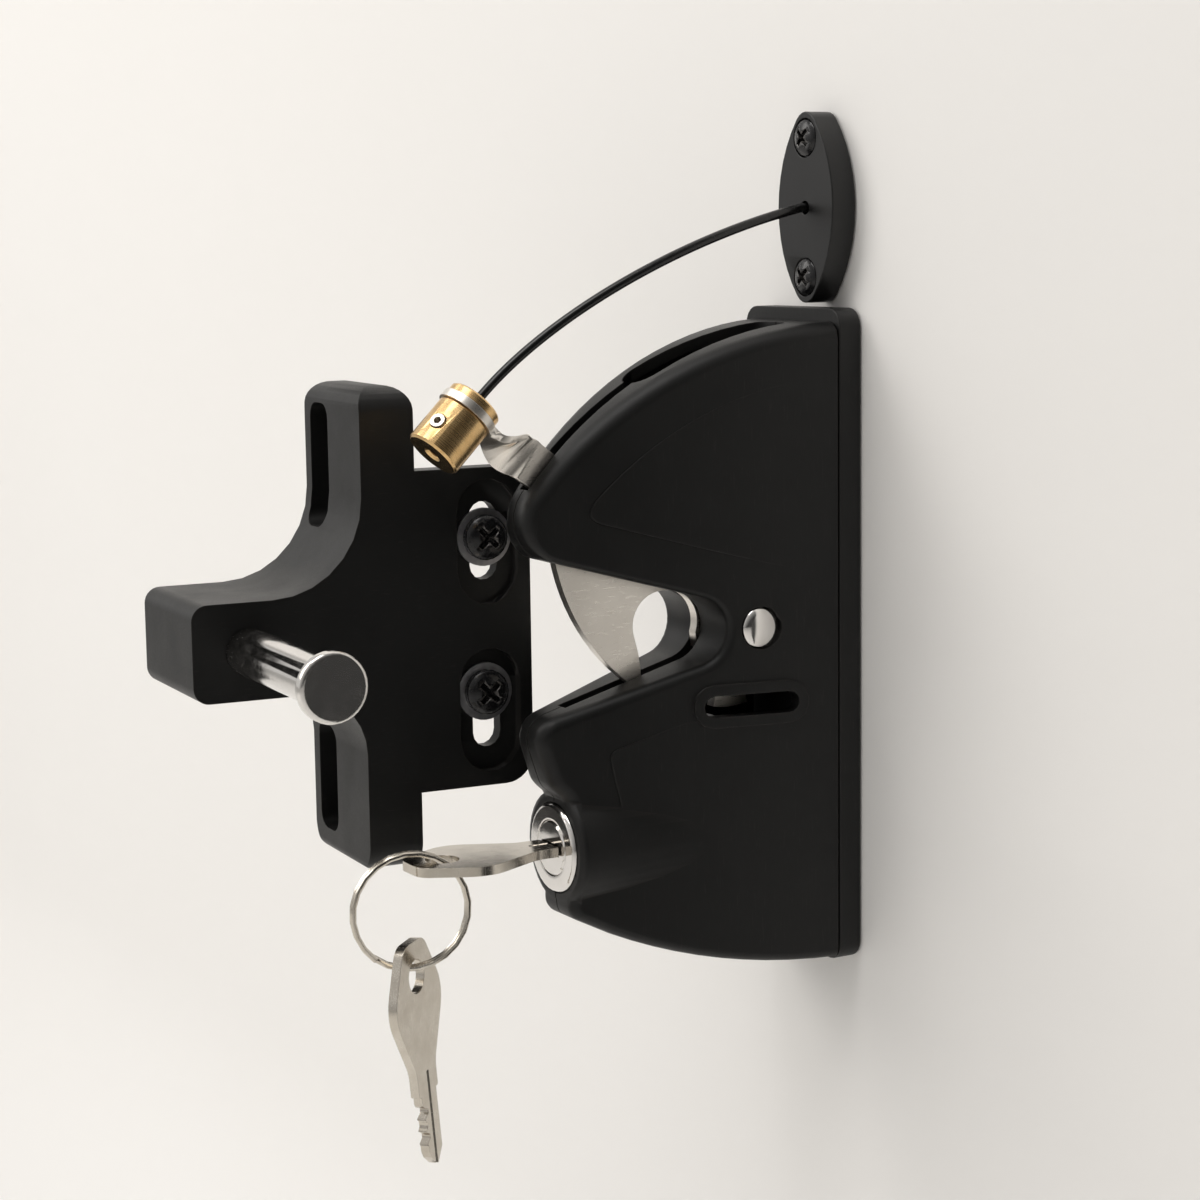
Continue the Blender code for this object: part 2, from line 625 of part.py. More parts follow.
def claw_outline():
    """The flat claw: hub, latching hook with its ramp, lock finger and the root of the arm."""
    hub = (PIVOT.y, PIVOT.z)
    outline = arc(RAMP_CENTRE, RAMP_RADIUS, radians(176), radians(234), 16)
    outline += [Vector(point) * MM for point in ((-46.7, -12.2), (-45.6, -11.5), (-45.3, -10.4),
                                                 (-45.4, -8.4), (-45.9, -5.2))]
    outline += arc(NOTCH_CENTRE, NOTCH_RADIUS, radians(200), radians(90), 12)
    outline += arc(NOTCH_CENTRE + NOTCH_REACH, NOTCH_RADIUS, radians(90), radians(-20), 12)
    front, rear = pi + radians(78), pi + radians(105)      # sides of the lock finger
    outline += [Vector((-31.2, -5.0)) * MM, polar(hub, 9.8 * MM, front)]
    outline += arc(hub, 19.0 * MM, front, rear, 6)
    outline += arc(hub, 9.5 * MM, rear, 2 * pi + radians(88), 14)
    arm = arm_direction()
    across = Vector((arm.z, -arm.y))     # the arm's upper side, as (y, z)
    upper = Vector(PIVOT.yz) + across * ARM_WIDTH / 2
    along = Vector(arm.yz)
    outline += [upper + along * 16 * MM, upper + along * (ARM_TWIST_START + 0.5 * MM)]
    outline += [upper + along * (ARM_TWIST_START + 0.5 * MM) - across * ARM_WIDTH,
                upper + along * 50 * MM - across * ARM_WIDTH]
    return outline


def arm_loft():
    """The arm's strip, twisted a quarter turn between the flat claw and the eye."""
    bm = bmesh.new()
    steps = 14
    rings = []
    side = Vector((1.0, 0.0, 0.0))
    radial = arm_direction()
    eye_along = EYE_NORMAL.cross(side).normalized()
    if eye_along.y > 0:
        eye_along.negate()
    reach = EYE_DISTANCE - 4.0 * MM
    for i in range(steps + 1):
        distance = ARM_TWIST_START + (reach - ARM_TWIST_START) * i / steps
        share = min(1.0, (distance - ARM_TWIST_START) / (ARM_TWIST_END - ARM_TWIST_START))
        ease = share * share * (3 - 2 * share)
        turn = pi / 2 * ease
        straight = PIVOT + radial * distance
        level = EYE_CENTRE - eye_along * (EYE_DISTANCE - distance)
        centre = straight.lerp(level, ease)
        forward = radial.lerp(eye_along, ease).normalized()
        across = forward.cross(side).normalized()
        wide = across * cos(turn) + side * sin(turn)
        thin = side * cos(turn) - across * sin(turn)
        half_wide = ARM_WIDTH / 2 * (1.0 + 0.12 * sin(pi * share))
        half_thin = (CLAW_THICKNESS * (1 - ease) + (EYE_THICKNESS - 0.1 * MM) * ease) / 2
        rings.append([bm.verts.new(centre + wide * a * half_wide + thin * b * half_thin)
                      for a, b in ((1, 1), (-1, 1), (-1, -1), (1, -1))])
    for first, second in zip(rings, rings[1:]):
        for i in range(4):
            j = (i + 1) % 4
            bm.faces.new((first[i], first[j], second[j], second[i]))
    bm.faces.new(rings[0])
    bm.faces.new(rings[-1])
    return bmesh_object("arm_twist", bm, None)


def build_claw():
    claw = plate("claw", claw_outline(), SIDE_PLANE, CLAW_THICKNESS, STAINLESS)
    eye = cylinder("eye_plate", EYE_RADIUS, EYE_CENTRE - EYE_NORMAL * EYE_THICKNESS / 2,
                   EYE_CENTRE + EYE_NORMAL * EYE_THICKNESS / 2, None, steps=40)
    join(claw, arm_loft(), eye)
    cut(claw,
        cylinder("bush_bore", BUSH_RADIUS + RUNNING_GAP, (-9 * MM, *PIVOT.yz), (9 * MM, *PIVOT.yz),
                 None),
        cylinder("eye_bore", SPIGOT_RADIUS + RUNNING_GAP, EYE_CENTRE - EYE_NORMAL * 5 * MM,
                 EYE_CENTRE + EYE_NORMAL * 5 * MM, None, steps=32))
    return smooth(claw, 25)


def build_pivot():
    """Rivet with a domed head on each side, and the bush the claw turns on."""
    seat = 13.5 * MM
    dome = 1.75 * MM
    head = [(RIVET_HEAD_RADIUS * sin(a), seat + 0.5 * MM + (dome - 0.5 * MM) * cos(a))
            for a in (radians(d) for d in (0, 22, 44, 66, 90))]
    profile = head + [(RIVET_HEAD_RADIUS, seat), (RIVET_RADIUS, seat)]
    profile += [(r, -h) for r, h in reversed(profile)]
    turned("pivot_rivet", profile, axis_matrix(PIVOT, (1, 0, 0)), CHROME)
    length = CLAW_SLOT / 2 - 0.1 * MM
    inner = RIVET_RADIUS + RUNNING_GAP
    ring = [(inner, length), (BUSH_RADIUS, length), (BUSH_RADIUS, -length), (inner, -length),
            (inner, length)]
    turned("pivot_bush", ring, axis_matrix(PIVOT, (1, 0, 0)), BUSHING, steps=28)


# ---- cable clamp, cable and escutcheon --------------------------------------------------------------
SPIGOT_RADIUS = 3.2 * MM
CABLE_BORE = CABLE_RADIUS + 0.35 * MM
SET_SCREW_DIRECTION = Vector((0.518, -0.605, 0.605)).normalized()
SET_SCREW_DROP = 6.6 * MM        # below the eye, along the clamp


def build_clamp():
    matrix = axis_matrix(EYE_CENTRE, EYE_NORMAL, (1, 0, 0))
    under = -(EYE_THICKNESS / 2 + RUNNING_GAP)
    above = EYE_THICKNESS / 2 + RUNNING_GAP
    cap_height = 2.0 * MM
    chamfer = 0.5 * MM
    low = under - CLAMP_LENGTH
    body = turned("cable_clamp",
                  [(CABLE_BORE, above + cap_height), (SPIGOT_RADIUS, above + cap_height),
                   (SPIGOT_RADIUS, under), (CLAMP_RADIUS - 0.3 * MM, under),
                   (CLAMP_RADIUS, under - 0.3 * MM), (CLAMP_RADIUS, low + chamfer),
                   (CLAMP_RADIUS - chamfer, low), (CABLE_BORE + 0.6 * MM, low),
                   (CABLE_BORE, low + 0.6 * MM), (CABLE_BORE, above + cap_height)],
                  matrix, BRASS, steps=32)
    screw_point = EYE_CENTRE - EYE_NORMAL * SET_SCREW_DROP
    cut(body, cylinder("set_screw_bore", 1.75 * MM, screw_point + SET_SCREW_DIRECTION * 0.6 * MM,
                       screw_point + SET_SCREW_DIRECTION * 9 * MM, None, steps=24))
    inner = SPIGOT_RADIUS + RUNNING_GAP
    rim = 0.4 * MM
    turned("clamp_collar",
           [(inner, above + cap_height), (CLAMP_RADIUS - rim, above + cap_height),
            (CLAMP_RADIUS, above + cap_height - rim), (CLAMP_RADIUS, above),
            (inner, above), (inner, above + cap_height)], matrix, BRASS, steps=32)
    screw = cylinder("clamp_set_screw", 1.55 * MM,
                     screw_point + SET_SCREW_DIRECTION * (CABLE_RADIUS + 0.15 * MM),
                     screw_point + SET_SCREW_DIRECTION * (CLAMP_RADIUS + 0.25 * MM), BLACK_STEEL,
                     steps=24)
    driver = cylinder("hex_socket", 0.85 * MM,
                      screw_point + SET_SCREW_DIRECTION * (CLAMP_RADIUS - 1.4 * MM),
                      screw_point + SET_SCREW_DIRECTION * (CLAMP_RADIUS + 2 * MM), None, steps=6)
    cut(screw, driver)
    smooth(screw)


def bezier(points, steps):
    a, b, c, d = points
    return [a * (1 - t) ** 3 + 3 * b * t * (1 - t) ** 2 + 3 * c * t ** 2 * (1 - t) + d * t ** 3
            for t in (i / steps for i in range(steps + 1))]


def cable_path():
    """From the clamp's lower end, up through the eye, over to the escutcheon and through it."""
    bottom = EYE_CENTRE - EYE_NORMAL * (CLAMP_LENGTH - 0.5 * MM)
    leave = EYE_CENTRE + EYE_NORMAL * 4.2 * MM
    hole = Vector((ESCUTCHEON_CENTRE.x, -ESCUTCHEON_THICKNESS - 1.0 * MM, ESCUTCHEON_CENTRE.z))
    pull = EYE_NORMAL * 22 * MM
    rise = Vector((-1.2, -30.0, -6.4)) * MM
    sweep = bezier((leave, leave + pull, hole + rise, hole), 22)
    inside = [hole + Vector((0.0, y, 0.0)) * MM for y in (2.0, 17.0)]
    return [bottom, EYE_CENTRE] + sweep + inside


def lens_outline(half_width_, half_height, tip_radius, steps=12):
    """Two arcs that meet in rounded tips, widest across the middle, as (x, z)."""
    # Radius of the side arcs, from the tip circle they are tangent to.
    drop = half_height - tip_radius
    side_radius = ((half_width_ - tip_radius) ** 2 + drop ** 2) / (2 * (half_width_ - tip_radius))
    side_radius += tip_radius
    offset = side_radius - half_width_
    reach = atan2(drop, offset)
    right = arc((-offset, 0.0), side_radius, -reach, reach, steps)
    top = arc((0.0, drop), tip_radius, reach, pi - reach, steps // 2)[1:-1]
    left = arc((offset, 0.0), side_radius, pi - reach, pi + reach, steps)
    bottom = arc((0.0, -drop), tip_radius, pi + reach, 2 * pi - reach, steps // 2)[1:-1]
    return right + top + left + bottom


def build_escutcheon():
    centre = ESCUTCHEON_CENTRE
    matrix = at(FRONT_PLANE, centre.x, -ESCUTCHEON_THICKNESS / 2, centre.z)
    body = plate("escutcheon", lens_outline(ESCUTCHEON_HALF_WIDTH, ESCUTCHEON_HALF_HEIGHT,
                                            ESCUTCHEON_TIP_RADIUS), matrix,
                 ESCUTCHEON_THICKNESS, COATED)
    bevel(body, 0.45 * MM, 1)
    front = -ESCUTCHEON_THICKNESS
    cut(body, cylinder("cable_hole", CABLE_RADIUS + 0.5 * MM, centre + Vector((0, -0.02, 0)),
                       centre + Vector((0, 0.02, 0)), None, steps=28))
    for index, sign in enumerate((1, -1)):
        place = centre + Vector((0, front, sign * ESCUTCHEON_SCREW_OFFSET))
        cut(body, cylinder(f"escutcheon_clearance_{index}", 2.3 * MM,
                           place + Vector((0, -5, 0)) * MM, place + Vector((0, 15, 0)) * MM,
                           None, steps=24),
            cylinder(f"escutcheon_seat_{index}", 4.2 * MM, place + Vector((0, -5, 0)) * MM,
                     place + Vector((0, 1.6, 0)) * MM, None, steps=32))
        phillips_screw(f"escutcheon_screw_{index + 1}",
                       axis_matrix(place + Vector((0, 1.3 * MM, 0)), (0, -1, 0)),
                       3.9 * MM, 2.3 * MM, 2.0 * MM, 24 * MM, BLACK_STEEL)
    return smooth(body)


# ---- lock, locking bar, keys and ring ---------------------------------------------------------------
CRANK_START = Vector((cos(LOCK_START), sin(LOCK_START))) * CRANK_RADIUS     # (x, z)


def build_lock():
    face = axis_matrix((0, LOCK_FACE, LOCK_HEIGHT), (0, -1, 0))
    bore = PLUG_RADIUS + RUNNING_GAP
    rear = LOCK_FACE + 30.4 * MM
    length = rear - LOCK_FACE
    groove = 28.0 * MM
    turned("lock_barrel",
           [(bore, -0.1 * MM), (bore + 0.6 * MM, 0.0), (LOCK_FACE_RADIUS - 0.9 * MM, 0.0),
            (LOCK_FACE_RADIUS - 0.3 * MM, -0.25 * MM), (LOCK_FACE_RADIUS, -0.8 * MM),
            (LOCK_FACE_RADIUS, -1.4 * MM), (BARREL_RADIUS, -1.4 * MM), (BARREL_RADIUS, -groove),
            (BARREL_RADIUS - 1 * MM, -groove), (BARREL_RADIUS - 1 * MM, -groove - 1.2 * MM),
            (BARREL_RADIUS, -groove - 1.2 * MM), (BARREL_RADIUS, -length), (bore, -length),
            (bore, -0.1 * MM)], face, CHROME, steps=32)
    plug = turned("lock_plug",
                  [(0.0, 0.15 * MM), (PLUG_RADIUS - 0.5 * MM, 0.15 * MM),
                   (PLUG_RADIUS, -0.35 * MM), (PLUG_RADIUS, -length - 0.2 * MM),
                   (2.4 * MM, -length - 0.2 * MM), (2.4 * MM, -length - 2.6 * MM),
                   (0.0, -length - 2.6 * MM)], face, CHROME)
    way = 0.3 * MM
    half = BLADE_WIDTH / 2 + way
    cut(plug, box("keyway", (-half, LOCK_FACE - 2 * MM, LOCK_HEIGHT - KEY_THICKNESS / 2 - way),
                  (half, LOCK_FACE + BLADE_LENGTH + 0.8 * MM,
                   LOCK_HEIGHT + KEY_THICKNESS / 2 + way), None))
    smooth(plug)
    # Horseshoe clip in the barrel's groove, open downwards.
    clip_y = LOCK_FACE + groove + 0.6 * MM
    clip = plate("lock_clip", circle((0, 0), 9.9 * MM, 40), at(FRONT_PLANE, 0, clip_y, LOCK_HEIGHT),
                 0.8 * MM, ZINC, holes=[circle((0, 0), BARREL_RADIUS - 1 * MM + RUNNING_GAP, 36)])
    opening = BARREL_RADIUS - 1.2 * MM
    cut(clip, box("clip_opening", (-opening, clip_y - 3 * MM, LOCK_HEIGHT - 15 * MM),
                  (opening, clip_y + 3 * MM, LOCK_HEIGHT - 2 * MM), None))
    # Cam with its eccentric pin, held on the plug's tail by a screw.
    cam_front = rear + 0.5 * MM
    cam_back = cam_front + 2.0 * MM
    cam = cylinder("lock_cam", 7.4 * MM, (0, cam_front, LOCK_HEIGHT), (0, cam_back, LOCK_HEIGHT),
                   ZINC)
    pin_x, pin_z = CRANK_START[0], LOCK_HEIGHT + CRANK_START[1]
    join(cam, cylinder("crank_pin", 1.3 * MM, (pin_x, cam_back - 1 * MM, pin_z),
                       (pin_x, BAR_FRONT + BAR_THICKNESS + 0.9 * MM, pin_z), None, steps=24))
    cut(cam, cylinder("cam_bore", 2.4 * MM + RUNNING_GAP, (0, cam_front - 2 * MM, LOCK_HEIGHT),
                      (0, cam_back + 2 * MM, LOCK_HEIGHT), None, steps=28))
    smooth(cam)
    plug_tail = rear + 2.6 * MM
    cut(plug, cylinder("cam_thread", 1.15 * MM, (0, plug_tail - 5 * MM, LOCK_HEIGHT),
                       (0, plug_tail + 2 * MM, LOCK_HEIGHT), None, steps=20))
    under_head = max(cam_back + RUNNING_GAP, plug_tail + 0.2 * MM)
    phillips_screw("cam_screw", axis_matrix((0, under_head, LOCK_HEIGHT), (0, 1, 0)),
                   2.9 * MM, 1.0 * MM, 0.9 * MM, 4.2 * MM, ZINC, steps=16)


BAR_FRONT = -30.2 * MM
BAR_THICKNESS = 2.4 * MM
BAR_TOP = -20.2 * MM             # unlocked; turning the key lifts the bar in front of the finger


def build_locking_bar():
    """A flat steel bar the cam's pin lifts, so that the claw's finger is blocked."""
    low = LOCK_HEIGHT - 9.0 * MM
    half = 8.2 * MM
    outline = rounded([(-half, low, 1.5 * MM), (half, low, 1.5 * MM),
                       (half, LOCK_HEIGHT + 8 * MM, 2 * MM), (4.2 * MM, LOCK_HEIGHT + 12 * MM, 2 * MM),
                       (4.2 * MM, BAR_TOP, 1 * MM), (-4.2 * MM, BAR_TOP, 1 * MM),
                       (-4.2 * MM, LOCK_HEIGHT + 12 * MM, 2 * MM),
                       (-half, LOCK_HEIGHT + 8 * MM, 2 * MM)], 4)
    slot = slot_outline((4.3 * MM, LOCK_HEIGHT + CRANK_START[1]), 6.0 * MM, 3.2 * MM, 8)
    bar = plate("locking_bar", outline,
                at(FRONT_PLANE, y=BAR_FRONT + BAR_THICKNESS / 2), BAR_THICKNESS, ZINC,
                holes=[slot])
    return smooth(bar)


def key_outline():
    """A flat key along +u: a long tapering bow, a neck that stops at the lock, a cut blade."""
    half, neck, wide = BLADE_WIDTH / 2, NECK_WIDTH / 2, BOW_WIDTH / 2
    shoulder = KEY_LENGTH - BLADE_LENGTH
    lower = [(0.0, -4.6 * MM, 3.8 * MM), (BOW_LENGTH * 0.5, -wide * 1.12, 9.0 * MM),
             (BOW_LENGTH * 1.05, -neck, 7.0 * MM), (shoulder, -neck, 0.4 * MM),
             (shoulder, -half, 0.3 * MM)]
    tip = [(KEY_LENGTH - 3.2 * MM, -half, 0.0), (KEY_LENGTH, -0.7 * MM, 0.5 * MM),
           (KEY_LENGTH - 2.4 * MM, half - 1.6 * MM, 0.0)]
    # Bitting: short flats joined by slopes, from the tip back towards the shoulder.
    pitch = 2.7 * MM
    bits = []
    for index, depth in enumerate((0.9, 1.9, 1.3, 2.2)):
        middle = KEY_LENGTH - 4.4 * MM - index * pitch
        level = half - depth * MM
        bits += [(middle + 0.5 * MM, level, 0.0), (middle - 0.5 * MM, level, 0.0),
                 (middle - pitch / 2, half - 0.5 * MM, 0.0)]
    upper = [(shoulder + 1.6 * MM, half, 0.0)] + [(u, -v, r) for u, v, r in reversed(lower)]
    return rounded(lower + tip + bits + upper, 5)


def build_key(name, matrix):
    hole = circle((KEY_RIM + KEY_HOLE_RADIUS, 0.0), KEY_HOLE_RADIUS, 24)
    key = plate(name, key_outline(), matrix, KEY_THICKNESS, NICKEL, holes=[hole])
    grooves = [plate(f"{name}_groove_{i}",
                     rounded([(BOW_LENGTH + 2 * MM, v - 0.5 * MM, 0.3 * MM),
                              (KEY_LENGTH + 2 * MM, v - 0.5 * MM, 0.0),
                              (KEY_LENGTH + 2 * MM, v + 0.5 * MM, 0.0),
                              (BOW_LENGTH + 2 * MM, v + 0.5 * MM, 0.3 * MM)], 3),
                     matrix @ Matrix.Translation((0, 0, sign * KEY_THICKNESS / 2)), 1.0 * MM, None)
               for i, (sign, v) in enumerate(((1, -1.6 * MM), (-1, -0.3 * MM)))]
    cut(key, *grooves)
    return smooth(key)


KEY_BOW_END = Vector((0.0, LOCK_FACE - 0.45 * MM + BLADE_LENGTH - KEY_LENGTH, LOCK_HEIGHT))
RING_ACROSS = Vector((sin(-RING_YAW), cos(RING_YAW), 0.0))     # horizontal, in the ring's plane
RING_NORMAL = RING_ACROSS.cross(Vector((0, 0, 1)))
RING_DROP = 9.4 * MM
KEY_HOLE = KEY_BOW_END + Vector((0.0, KEY_RIM + KEY_HOLE_RADIUS, 0.0))
RING_REACH = sqrt(RING_RADIUS ** 2 - RING_DROP ** 2)
RING_CENTRE = KEY_HOLE - RING_ACROSS * (RING_REACH - 0.9 * MM) - Vector((0, 0, RING_DROP))
RING_START = pi + asin(RING_DROP / RING_RADIUS)
RING_SHIFT = (1.5 * pi - RING_START) / (2 * pi) - 0.5     # the coils' middle at the bottom
SPARE_PLAY = 1.2 * MM
SPARE_PIVOT = RING_CENTRE - Vector((0, 0, RING_RADIUS))
SPARE_YAW = radians(142.0)
SPARE_LEAN = radians(5.0)


def build_keys():
    inserted = Matrix(((0, 1, 0, 0), (1, 0, 0, 0), (0, 0, -1, 0), (0, 0, 0, 1)))
    build_key("key", Matrix.Translation(KEY_BOW_END) @ inserted)
    turns, steps = 2, 48
    ring = [RING_CENTRE
            + (RING_ACROSS * cos(a) + Vector((0, 0, 1)) * sin(a)) * RING_RADIUS
            + RING_NORMAL * RING_PITCH * (i / steps * turns - turns / 2)
            for i, a in ((i, RING_START + 2 * pi * turns * i / steps) for i in range(steps + 1))]
    smooth(tube("key_ring", ring, RING_WIRE, Matrix(), NICKEL))
    # The spare key hangs with its rim over the ring's lowest point.
    drop = Vector((0.0, sin(SPARE_LEAN), -cos(SPARE_LEAN)))
    normal = Matrix.Rotation(SPARE_YAW, 3, "Z") @ RING_ACROSS
    normal = (normal - drop * drop.dot(normal)).normalized()
    matrix = Matrix((drop, normal.cross(drop), normal)).transposed().to_4x4()
    middle = RING_NORMAL * RING_PITCH * RING_SHIFT
    hang = SPARE_PIVOT + middle - drop * (KEY_RIM + RING_WIRE + SPARE_PLAY)
    build_key("spare_key", Matrix.Translation(hang) @ matrix)


# ---- striker bracket -------------------------------------------------------------------------------------
SIDE_SCREWS = [(54.0 * MM, 20.2 * MM), (53.6 * MM, -13.4 * MM)]      # (y, z) on the bracket
POCKETS = [(54.1 * MM, 19.4 * MM), (54.1 * MM, -17.2 * MM)]
POCKET_LENGTH = 27.0 * MM
POCKET_WIDTH = 14.2 * MM
POCKET_FLOOR = -2.6 * MM
FLANGE_SLOTS = [(35.6 * MM, 26.8 * MM), (-33.4 * MM, 23.8 * MM)]     # (z, length)
FLANGE_SLOT_X = -24.5 * MM
FLANGE_SLOT_WIDTH = 10.8 * MM
SIDE_SLOT_LENGTH = 17.0 * MM
SIDE_SLOT_WIDTH = 6.4 * MM


def bracket_matrix():
    return Matrix.Translation(STRIKER_ROOT) @ Matrix.Rotation(GATE_OPEN_ANGLE, 4, "Z")


def build_bracket(place):
    profile = rounded([
        (FLANGE_FRONT, FLANGE_TOP, 4.5 * MM), (FLANGE_FRONT, HORN_HALF_HEIGHT, HORN_FILLET),
        (HORN_FRONT, HORN_HALF_HEIGHT, 3.4 * MM), (HORN_FRONT, -HORN_HALF_HEIGHT, 3.4 * MM),
        (FLANGE_FRONT, -HORN_HALF_HEIGHT, 14.0 * MM), (FLANGE_FRONT, FLANGE_BOTTOM, 2.0 * MM),
        (FLANGE_BACK, FLANGE_BOTTOM, 1.0 * MM), (FLANGE_BACK, FLANGE_TOP, 5.0 * MM)], 7)
    side = place @ SIDE_PLANE
    depth = BRACKET_DEPTH
    bracket = plate("striker_bracket", profile, side @ Matrix.Translation((0, 0, -depth / 2)),
                    depth, NYLON)
    bevel(bracket, 2.4 * MM, 3, 60)
    # Round the flange's ends as seen from the front.
    trim = 60 * MM
    face = rounded([(-depth, FLANGE_BOTTOM, 6 * MM), (0, FLANGE_BOTTOM, 6 * MM),
                    (0, FLANGE_TOP, 6 * MM), (-depth, FLANGE_TOP, 6 * MM)], 8)
    front = place @ FRONT_PLANE
    keep = plate("flange_ends", face, front, 2 * trim, None)
    combine(bracket, keep, "INTERSECT")
    plate_outline = rounded([(FLANGE_FRONT + 6 * MM, PLATE_BOTTOM, 0.0),
                             (PLATE_EDGE, PLATE_BOTTOM, 6.5 * MM), (PLATE_EDGE, PLATE_TOP, 6.5 * MM),
                             (FLANGE_FRONT + 6 * MM, PLATE_TOP, 0.0)], 8)
    wing = plate("side_plate", plate_outline,
                 side @ Matrix.Translation((0, 0, -PLATE_THICKNESS / 2)), PLATE_THICKNESS, None)
    bevel(wing, 1.2 * MM, 2, 60)
    join(bracket, wing)
    for index, (z, length) in enumerate(FLANGE_SLOTS):
        half_length, half_slot = length / 2, FLANGE_SLOT_WIDTH / 2
        outline = rounded([(FLANGE_SLOT_X + u, z + v, 3.4 * MM)
                           for u, v in ((-half_slot, -half_length), (half_slot, -half_length),
                                        (half_slot, half_length), (-half_slot, half_length))], 4)
        cut(bracket, plate(f"flange_slot_{index}", outline, front, 200 * MM, None))
    for index, (y, z) in enumerate(POCKETS):
        pocket = [(y - v, z + u) for u, v in
                  slot_outline((0.0, 0.0), POCKET_LENGTH, POCKET_WIDTH)]
        slot = [(y - v, z + u) for u, v in slot_outline((0.0, 0.0), SIDE_SLOT_LENGTH,
                                                           SIDE_SLOT_WIDTH)]
        cut(bracket, plate(f"pocket_{index}", pocket,
                           side @ Matrix.Translation((0, 0, POCKET_FLOOR + 10 * MM)), 20 * MM, None),
            plate(f"side_slot_{index}", slot, side, 60 * MM, None))
    cut(bracket, placed_cylinder(place, "pin_bore", 3.5 * MM + CLEARANCE, (-22, 0, 0), (5, 0, 0)),
        placed_cylinder(place, "pin_screw_bore", 2.5 * MM + CLEARANCE, (-40, 0, 0), (-20, 0, 0)),
        placed_cylinder(place, "pin_screw_head_bore", 4.6 * MM, (-40, 0, 0), (-27.6, 0, 0)))
    return smooth(bracket)


def placed_cylinder(place, name, radius, start, end, material=None, steps=32):
    return cylinder(name, radius, place @ (Vector(start) * MM), place @ (Vector(end) * MM),
                    material, steps=steps)


def build_striker(place):
    """Headed steel pin on a spigot, drawn into the bracket by a screw from behind."""
    length = STRIKER_LENGTH
    head = 2.6 * MM
    edge = 0.5 * MM
    matrix = place @ axis_matrix((0, 0, 0), (1, 0, 0))
    pin = turned("striker_pin",
                 [(0.0, length), (STRIKER_HEAD_RADIUS - edge - 0.6 * MM, length),
                  (STRIKER_HEAD_RADIUS - 0.35 * MM, length - 0.2 * MM),
                  (STRIKER_HEAD_RADIUS, length - 0.8 * MM),
                  (STRIKER_HEAD_RADIUS, length - head + edge),
                  (STRIKER_HEAD_RADIUS - edge, length - head), (STRIKER_RADIUS, length - head),
                  (STRIKER_RADIUS, CLEARANCE), (3.5 * MM, CLEARANCE), (3.5 * MM, -21.5 * MM),
                  (0.0, -21.5 * MM)], matrix, CHROME, steps=32)
    cut(pin, placed_cylinder(place, "pin_thread", 2.5 * MM, (-25, 0, 0), (-9, 0, 0), steps=24))
    under_head = place @ axis_matrix(Vector((-27.9, 0, 0)) * MM, (-1, 0, 0))
    phillips_screw("striker_pin_screw", under_head, 4.2 * MM, 3.0 * MM, 2.2 * MM, 15 * MM, ZINC,
                   steps=24)


def build_side_screws(place):
    washer_thickness = 0.8 * MM
    for index, (y, z) in enumerate(SIDE_SCREWS):
        floor = POCKET_FLOOR + RUNNING_GAP
        matrix = place @ axis_matrix((floor, y, z), (1, 0, 0))
        inner, outer = 2.7 * MM, 6.3 * MM
        turned(f"side_washer_{index + 1}",
               [(inner, washer_thickness), (outer, washer_thickness), (outer, 0.0), (inner, 0.0),
                (inner, washer_thickness)], matrix, ZINC, steps=32)
        seat = matrix @ Matrix.Translation((0, 0, washer_thickness + RUNNING_GAP))
        phillips_screw(f"side_screw_{index + 1}", seat, 4.9 * MM, 3.1 * MM, 2.4 * MM, 34 * MM,
                       BLACK_STEEL)


def hang_on_gate(names):
    """The striker's pieces turn about the gate's own hinge."""
    hinge = bpy.data.objects.new("gate_hinge_axis", None)
    PARTS.objects.link(hinge)
    hinge.location = GATE_HINGE
    bpy.context.view_layer.update()
    for name in names:
        obj = bpy.data.objects[name]
        world = obj.matrix_world.copy()
        obj.parent = hinge
        obj.matrix_parent_inverse = hinge.matrix_world.inverted()
        obj.matrix_world = world


def set_origin(name, point):
    """Moves an object's origin onto its joint's axis without moving its mesh."""
    obj = bpy.data.objects[name]
    bpy.context.view_layer.update()
    target = Matrix.Translation(point)
    obj.data.transform(target.inverted() @ obj.matrix_world)
    obj.matrix_world = target


def main():
    build_base()
    build_shell("near_shell", 1)
    build_shell("far_shell", -1)
    build_latch_fasteners()
    build_claw()
    build_pivot()
    build_clamp()
    smooth(tube("cable", cable_path(), CABLE_RADIUS, Matrix(), RUBBER))
    build_escutcheon()
    build_lock()
    build_locking_bar()
    build_keys()
    place = bracket_matrix()
    build_bracket(place)
    build_striker(place)
    build_side_screws(place)
    set_origin("claw", PIVOT)
    set_origin("clamp_set_screw", EYE_CENTRE)
    set_origin("key_ring", KEY_HOLE)
    set_origin("spare_key", SPARE_PIVOT)
    set_origin("locking_bar", (0.0, BAR_FRONT, LOCK_HEIGHT))
    hang_on_gate(["striker_bracket", "striker_pin", "striker_pin_screw", "side_washer_1",
                  "side_washer_2", "side_screw_1", "side_screw_2"])


main()
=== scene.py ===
"""Looks of the key-locking gate latch: fine surfaces, materials, backdrop, light and camera."""

import json
from math import cos, pi, radians, sin

import bmesh
import bpy
from mathutils import Matrix, Vector
from mathutils.bvhtree import BVHTree


